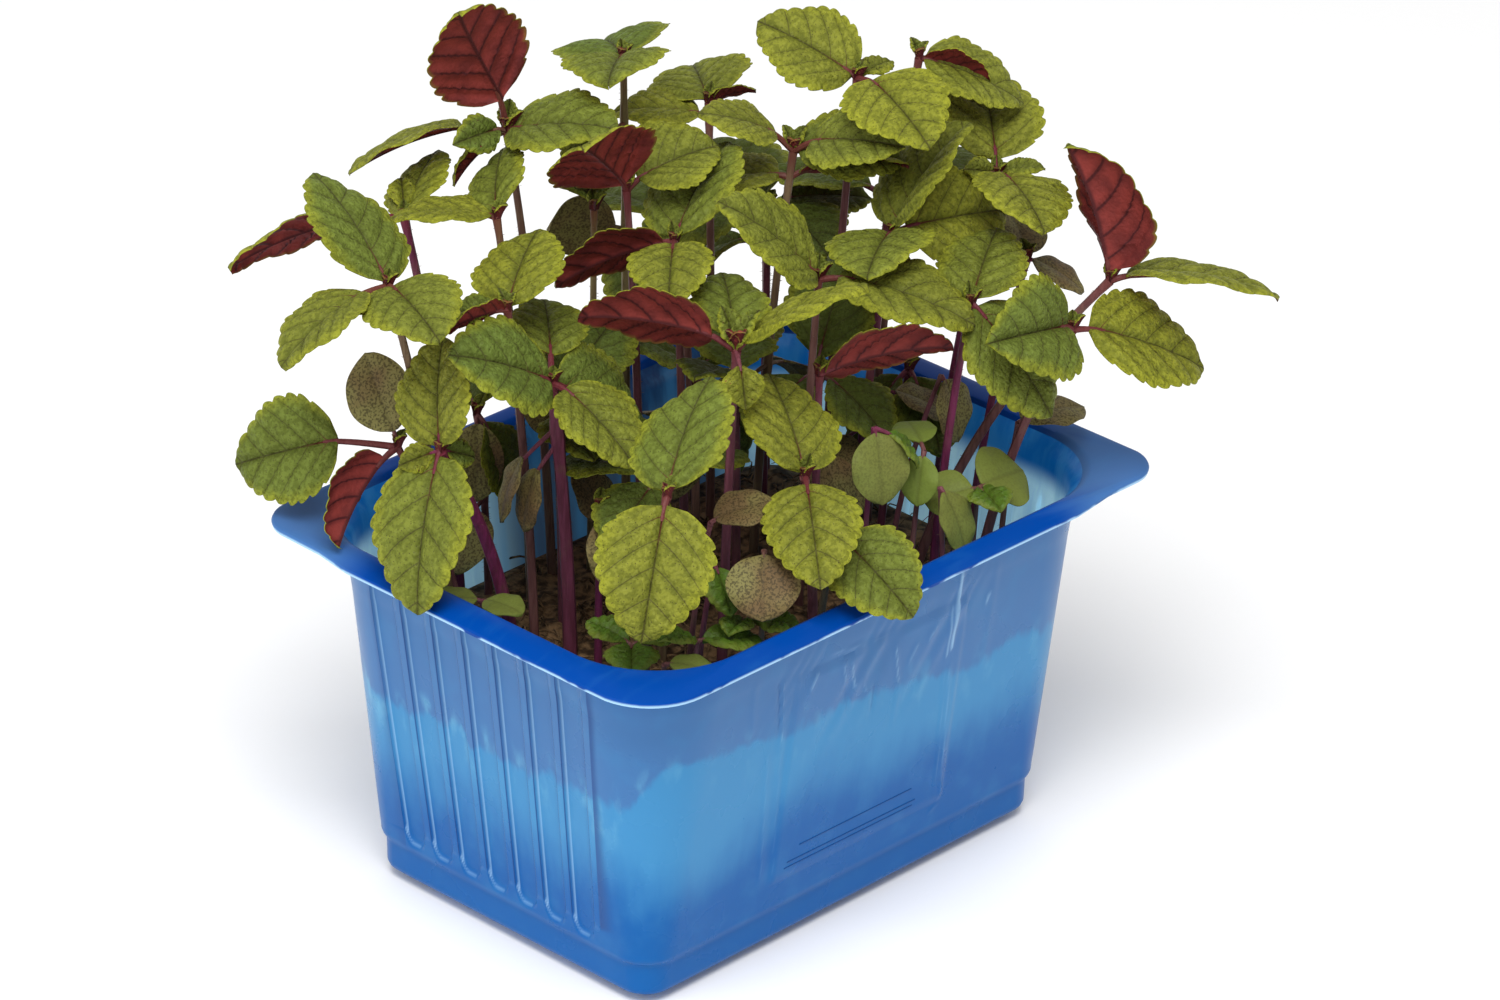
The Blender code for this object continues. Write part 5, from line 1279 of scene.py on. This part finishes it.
def add_blade(shape, base, leaf, look, draw, slots, tint, tone):
    """One fine blade: toothed margin, sunken veins above and raised veins below, closed all round."""
    teeth, tooth, quilting, sheet = leaf_style(leaf, look)
    share, v = blade_grid(leaf, teeth)
    rows, columns = len(share), len(v)
    u, v, y = toothed_outline(leaf, teeth, tooth, share, v)
    rib = np.abs(y)
    phase = vein_phase(u, rib, leaf[5])
    inner = (1 - np.exp(-rib)) * (1 - np.abs(v) ** 5) * smooth(0.0, 0.06, u)
    wave, twist = draw.uniform(0, 2 * math.pi), draw.uniform(-1, 1) * TWIST
    supple = min(1, leaf[5] / LONG_LEAF)
    lift = quilting * np.abs(np.sin(math.pi * phase)) ** 0.75 * inner + twist * y * u
    lift += WAVE * supple * np.sin(2 * math.pi * (WAVES * u + 0.3 * np.sign(v)) + wave) * v * v
    lift -= draw.uniform(*CURL) * supple * np.abs(v) ** 3 * (0.4 + 0.6 * u)
    scale = quilting / FULL_QUILTING
    shade_line_and_bar = scale * np.exp(-(rib / GROOVE_HALF) ** 2) * (1 - 0.7 * u)
    ridge = scale * np.exp(-((phase - np.round(phase)) / RIDGE_HALF) ** 2) * inner
    point, normal = blade_surface(base, blade_axes(leaf[2], leaf[3], leaf[4]), leaf, u, y)
    half_sheet = sheet / 2 * (1 - MARGIN_THINS * np.abs(v) ** 3)
    skins = [point + normal * (lift + half_sheet * turn - sunk * shade_line_and_bar - side * ridge)[..., None]
             for turn, (sunk, side) in ((1, UPPER_SUNK), (-1, LOWER_PROUD))]
    values = {"vein": phase if teeth else np.zeros_like(u), "rib": rib, "across": np.abs(v), "along": u}
    values = {key: np.concatenate((value.ravel(),) * 2) for key, value in values.items()}
    total = rows * columns
    upper = grid_faces(rows, columns, flip=True)
    lower = grid_faces(rows, columns, start=total)
    rim = list(range(columns)) + [r * columns + columns - 1 for r in range(1, rows)]
    rim += [total - 1 - k for k in range(1, columns)] + [r * columns for r in range(rows - 2, 0, -1)]
    upper += [(a, b, b + total, a + total) for a, b in zip(rim, rim[1:] + rim[:1])]
    shape.add(np.stack(skins), upper + lower, slots[0], tint=tint, tone=tone, **values)
    shape.slots[-len(lower):] = [slots[1]] * len(lower)


def add_petiole(shape, start, leaf, tone):
    """The leaf's stalk, from inside the stem out to the blade and a little way under its midrib."""
    along, _, upper = blade_axes(leaf[2], leaf[3], leaf[4])
    base = blade_base(start, leaf)
    end = base + along * leaf[5] * PETIOLE_UNDER - upper * PETIOLE_SUNK
    thick = PETIOLE_THICK if leaf[0] == "leaf" or leaf[5] > SMALL_LEAF else PETIOLE_THIN
    blush = PETIOLE_BLUSH if leaf[0] == "leaf" else PALE_BLUSH
    steps = np.linspace(0.0, 1.0, PETIOLE_STEPS + 1)
    line = [start * (1 - s) ** 2 + base * 2 * s * (1 - s) + end * s * s for s in steps]
    radii = thick * (PETIOLE_FOOT - PETIOLE_TAPER * steps)
    add_tube(shape, line, radii, PETIOLE_SIDES, tone=tone, tint=blush)


def add_hair(shape, foot, out, length):
    """One tiny three-sided hair with its foot inside the skin."""
    side = np.cross(out, HAIR_ACROSS)
    side /= np.linalg.norm(side)
    side, other = side * HAIR_HALF, np.cross(out, side) * HAIR_HALF
    points = [foot + side, foot - side * 0.5 + other, foot - side * 0.5 - other, foot + out * length]
    shape.add(points, [(0, 2, 1), (0, 1, 3), (1, 2, 3), (2, 0, 3)], 0, tone=HAIR_TONE)


def add_stem(shape, plant, look, draw, tone):
    """A square-shouldered stem that swells where its leaves part from it, with fine hairs."""
    _, root, crown, radius, leaves = plant
    shares = [k / FINE_STEM_STEPS for k in range(FINE_STEM_STEPS + 1)]
    line = [np.array((root[0], root[1], MEDIUM_TOP - ROOT_DEPTH + ROOT_SHORT))]
    line += [stem_point(root, crown, share) for share in shares]
    shares = [0.0] + shares
    joints = sorted({leaf[1] for leaf in leaves})
    radii = []
    for share in shares:
        swell = sum(JOINT_SWELL * math.exp(-((share - joint) / JOINT_REACH) ** 2) for joint in joints)
        radii.append(radius * (1 - (1 - STEM_TAPER) * share) * (STEM_GROWN + swell))
    tall = radius > TALL_STEM
    blush = np.repeat(STEM_BLUSH * tall * smooth(0.9, 1.0, np.array(shares)), FINE_STEM_SIDES)
    add_tube(shape, line, radii, FINE_STEM_SIDES, lobes=STEM_LOBES, tone=tone, tint=blush)
    for _ in range(look.hairs if tall else look.hairs // 4):
        share = draw.uniform(0.05, 0.98)
        angle = draw.uniform(0, 2 * math.pi)
        out = np.array((math.cos(angle), math.sin(angle), draw.uniform(-0.2, 0.3)))
        foot = stem_point(root, crown, share) + out * radius * HAIR_FOOT
        add_hair(shape, foot, out, look.hair_length / MM * draw.uniform(0.5, 1.2))


def add_bud(shape, plant, look, draw, tone):
    """The tuft of tiny folded leaves at a crown."""
    crown = np.array(plant[2], dtype=float) + (0, 0, 0.3)
    turn = draw.uniform(0, 90)
    for k, length in enumerate(BUD_LENGTHS):
        length *= draw.uniform(0.85, 1.15) * BUD_SIZES.get(plant[0], 1.0)
        leaf = ("young", 1, turn + 90 * k + 180 * (k % 2), BUD_PITCH + BUD_STEEPER * k, 0, length,
                length * BUD_WIDTH, 0.1, BUD_FOLD)
        slots = (UPPER_FACE, LOWER_FACE) if k < 2 else (LOWER_FACE, LOWER_FACE)
        add_blade(shape, crown, leaf, look, draw, slots, BUD_TINT, tone)


def build_plant(plant, look, finishes, draw):
    """One plant as one piece: stem, petioles, blades, bud and hairs."""
    name, root, crown, radius, leaves = plant
    shape = Shape()
    tone = STEM_TONES.get(name, draw.uniform(*STEM_TONE_RANGE))
    add_stem(shape, plant, look, draw, tone)
    for leaf in leaves:
        kind, length = leaf[0], leaf[5]
        start = stem_point(root, crown, leaf[1])
        tint, slots, leaf_tone = draw.uniform(*LEAF_TINTS), (UPPER_FACE, LOWER_FACE), tone
        if kind == "seed":
            slots = (SEED_FACE, SEED_FACE)
            leaf_tone = SEED_TONES.get(name, 1.0 if length > LARGE_SEED_LEAF else SMALL_SEED_TONE)
        elif kind == "young" and length >= SMALL_LEAF:
            # Leaves behind get a tint below 0, which paints them into shade.
            tint = draw.uniform(*BACK_SHADE_TINTS)
        elif kind == "young" and radius < TALL_STEM:
            slots = (YOUNG_FACE, YOUNG_FACE)
        add_petiole(shape, start, leaf, tone)
        add_blade(shape, blade_base(start, leaf), leaf, look, draw, slots, tint, leaf_tone)
    if radius > TALL_STEM:
        add_bud(shape, plant, look, draw, tone)
    deliver(shape.build(name + "_growth", finishes), name.split("_")[0], name)


def grow(context, family):
    """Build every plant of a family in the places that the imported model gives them."""
    look = context.scene.shiso_foliage
    finishes = [bpy.data.materials.get(name) or make(look) for name, make in FOLIAGE_FINISHES.items()]
    for number, plant in enumerate(settled_plants()):
        if plant[0].startswith(family):
            build_plant(plant, look, finishes, random.Random(number))


class SHISO_OT_stems(bpy.types.Operator):
    """Grow the tall leafy shiso stems"""
    bl_idname = "shiso.stems"
    bl_label = "Shiso stems"

    def execute(self, context):
        grow(context, "shiso")
        return {"FINISHED"}


class SHISO_OT_seedlings(bpy.types.Operator):
    """Grow the small seedlings between the stems"""
    bl_idname = "shiso.seedlings"
    bl_label = "Seedlings"

    def execute(self, context):
        grow(context, "seedling")
        return {"FINISHED"}


# Stage


def add_lamp(name, light, power):
    """A square soft light that looks at a point."""
    place, aim, size = light
    data = bpy.data.lights.new(name, "AREA")
    data.shape, data.size, data.energy = "SQUARE", size, power
    lamp = bpy.data.objects.new(name, data)
    lamp.location = place
    lamp.rotation_euler = (Vector(aim) - Vector(place)).to_track_quat("-Z", "Y").to_euler()
    bpy.context.scene.collection.objects.link(lamp)


def add_camera():
    """The photograph's own view."""
    turn, lift, roll = (math.radians(angle) for angle in (CAMERA_HEADING, CAMERA_LIFT, CAMERA_ROLL))
    back = Vector((math.sin(turn) * math.cos(lift), -math.cos(turn) * math.cos(lift), math.sin(lift)))
    right = Vector((math.cos(turn), math.sin(turn), 0.0))
    up = back.cross(right)
    across = right * math.cos(roll) + up * math.sin(roll)
    upward = up * math.cos(roll) - right * math.sin(roll)
    data = bpy.data.cameras.new("camera")
    data.lens, data.sensor_width, data.sensor_fit = LENS, SENSOR, "HORIZONTAL"
    camera = bpy.data.objects.new("camera", data)
    place = Matrix((across, upward, back)).transposed().to_4x4()
    place.translation = Vector(CAMERA_TARGET) + back * CAMERA_REACH
    camera.matrix_world = place
    bpy.context.scene.collection.objects.link(camera)
    bpy.context.scene.camera = camera


def add_floor(context, paper):
    """The pale floor, with a faint grain."""
    mesh = bpy.data.meshes.new("floor")
    corners = [(FLOOR_HALF * sx, FLOOR_HALF * sy, 0) for sx, sy in ((-1, -1), (1, -1), (1, 1), (-1, 1))]
    mesh.from_pydata(corners, [], [(0, 1, 2, 3)])
    finish = Finish("floor_paper", 0.9, 0.1, paper)
    finish.over([channel * FLOOR_GRAIN for channel in paper], finish.noise(600.0, 3.0))
    mesh.materials.append(finish.done())
    floor = bpy.data.objects.new("floor", mesh)
    context.scene.collection.objects.link(floor)


class SHISO_OT_stage(bpy.types.Operator):
    """Lay the pale floor and set the soft lights and the camera"""
    bl_idname = "shiso.stage"
    bl_label = "Stage"

    def execute(self, context):
        look = context.scene.shiso_stage
        add_floor(context, look.floor)
        world = bpy.data.worlds.new("studio")
        world.use_nodes = True
        sky = world.node_tree.nodes["Background"]
        sky.inputs["Color"].default_value = (1.0, 1.0, 1.0, 1.0)
        sky.inputs["Strength"].default_value = look.sky
        context.scene.world = world
        context.scene.view_settings.view_transform = "Standard"
        add_lamp("key", KEY_LIGHT, look.key_power)
        add_lamp("fill", FILL_LIGHT, look.fill_power)
        add_camera()
        return {"FINISHED"}


class SHISO_PT_sidebar(bpy.types.Panel):
    """The shiso punnet's tools"""
    bl_label = "Potted Shiso"
    bl_space_type = "VIEW_3D"
    bl_region_type = "UI"
    bl_category = "Shiso"

    def draw(self, context):
        scene = context.scene
        for tool, look in (("shiso.punnet", scene.shiso_punnet), ("shiso.medium", scene.shiso_medium),
                           ("shiso.stems", scene.shiso_foliage), ("shiso.seedlings", None),
                           ("shiso.stage", scene.shiso_stage)):
            box = self.layout.box()
            box.operator(tool)
            for name in look.__annotations__ if look else ():
                box.prop(look, name)


CLASSES = (PunnetSettings, MediumSettings, FoliageSettings, StageSettings, SHISO_OT_punnet,
           SHISO_OT_medium, SHISO_OT_stems, SHISO_OT_seedlings, SHISO_OT_stage, SHISO_PT_sidebar)
SETTINGS = {"shiso_punnet": PunnetSettings, "shiso_medium": MediumSettings,
            "shiso_foliage": FoliageSettings, "shiso_stage": StageSettings}


def register():
    for group in CLASSES:
        bpy.utils.register_class(group)
    for name, group in SETTINGS.items():
        setattr(bpy.types.Scene, name, PointerProperty(type=group))


def unregister():
    for name in SETTINGS:
        delattr(bpy.types.Scene, name)
    for group in reversed(CLASSES):
        bpy.utils.unregister_class(group)


def main():
    register()
    bpy.ops.shiso.stage()
    bpy.ops.shiso.punnet()
    bpy.ops.shiso.medium()
    bpy.ops.shiso.stems()
    bpy.ops.shiso.seedlings()
    bpy.context.view_layer.update()


if __name__ == "__main__":
    main()
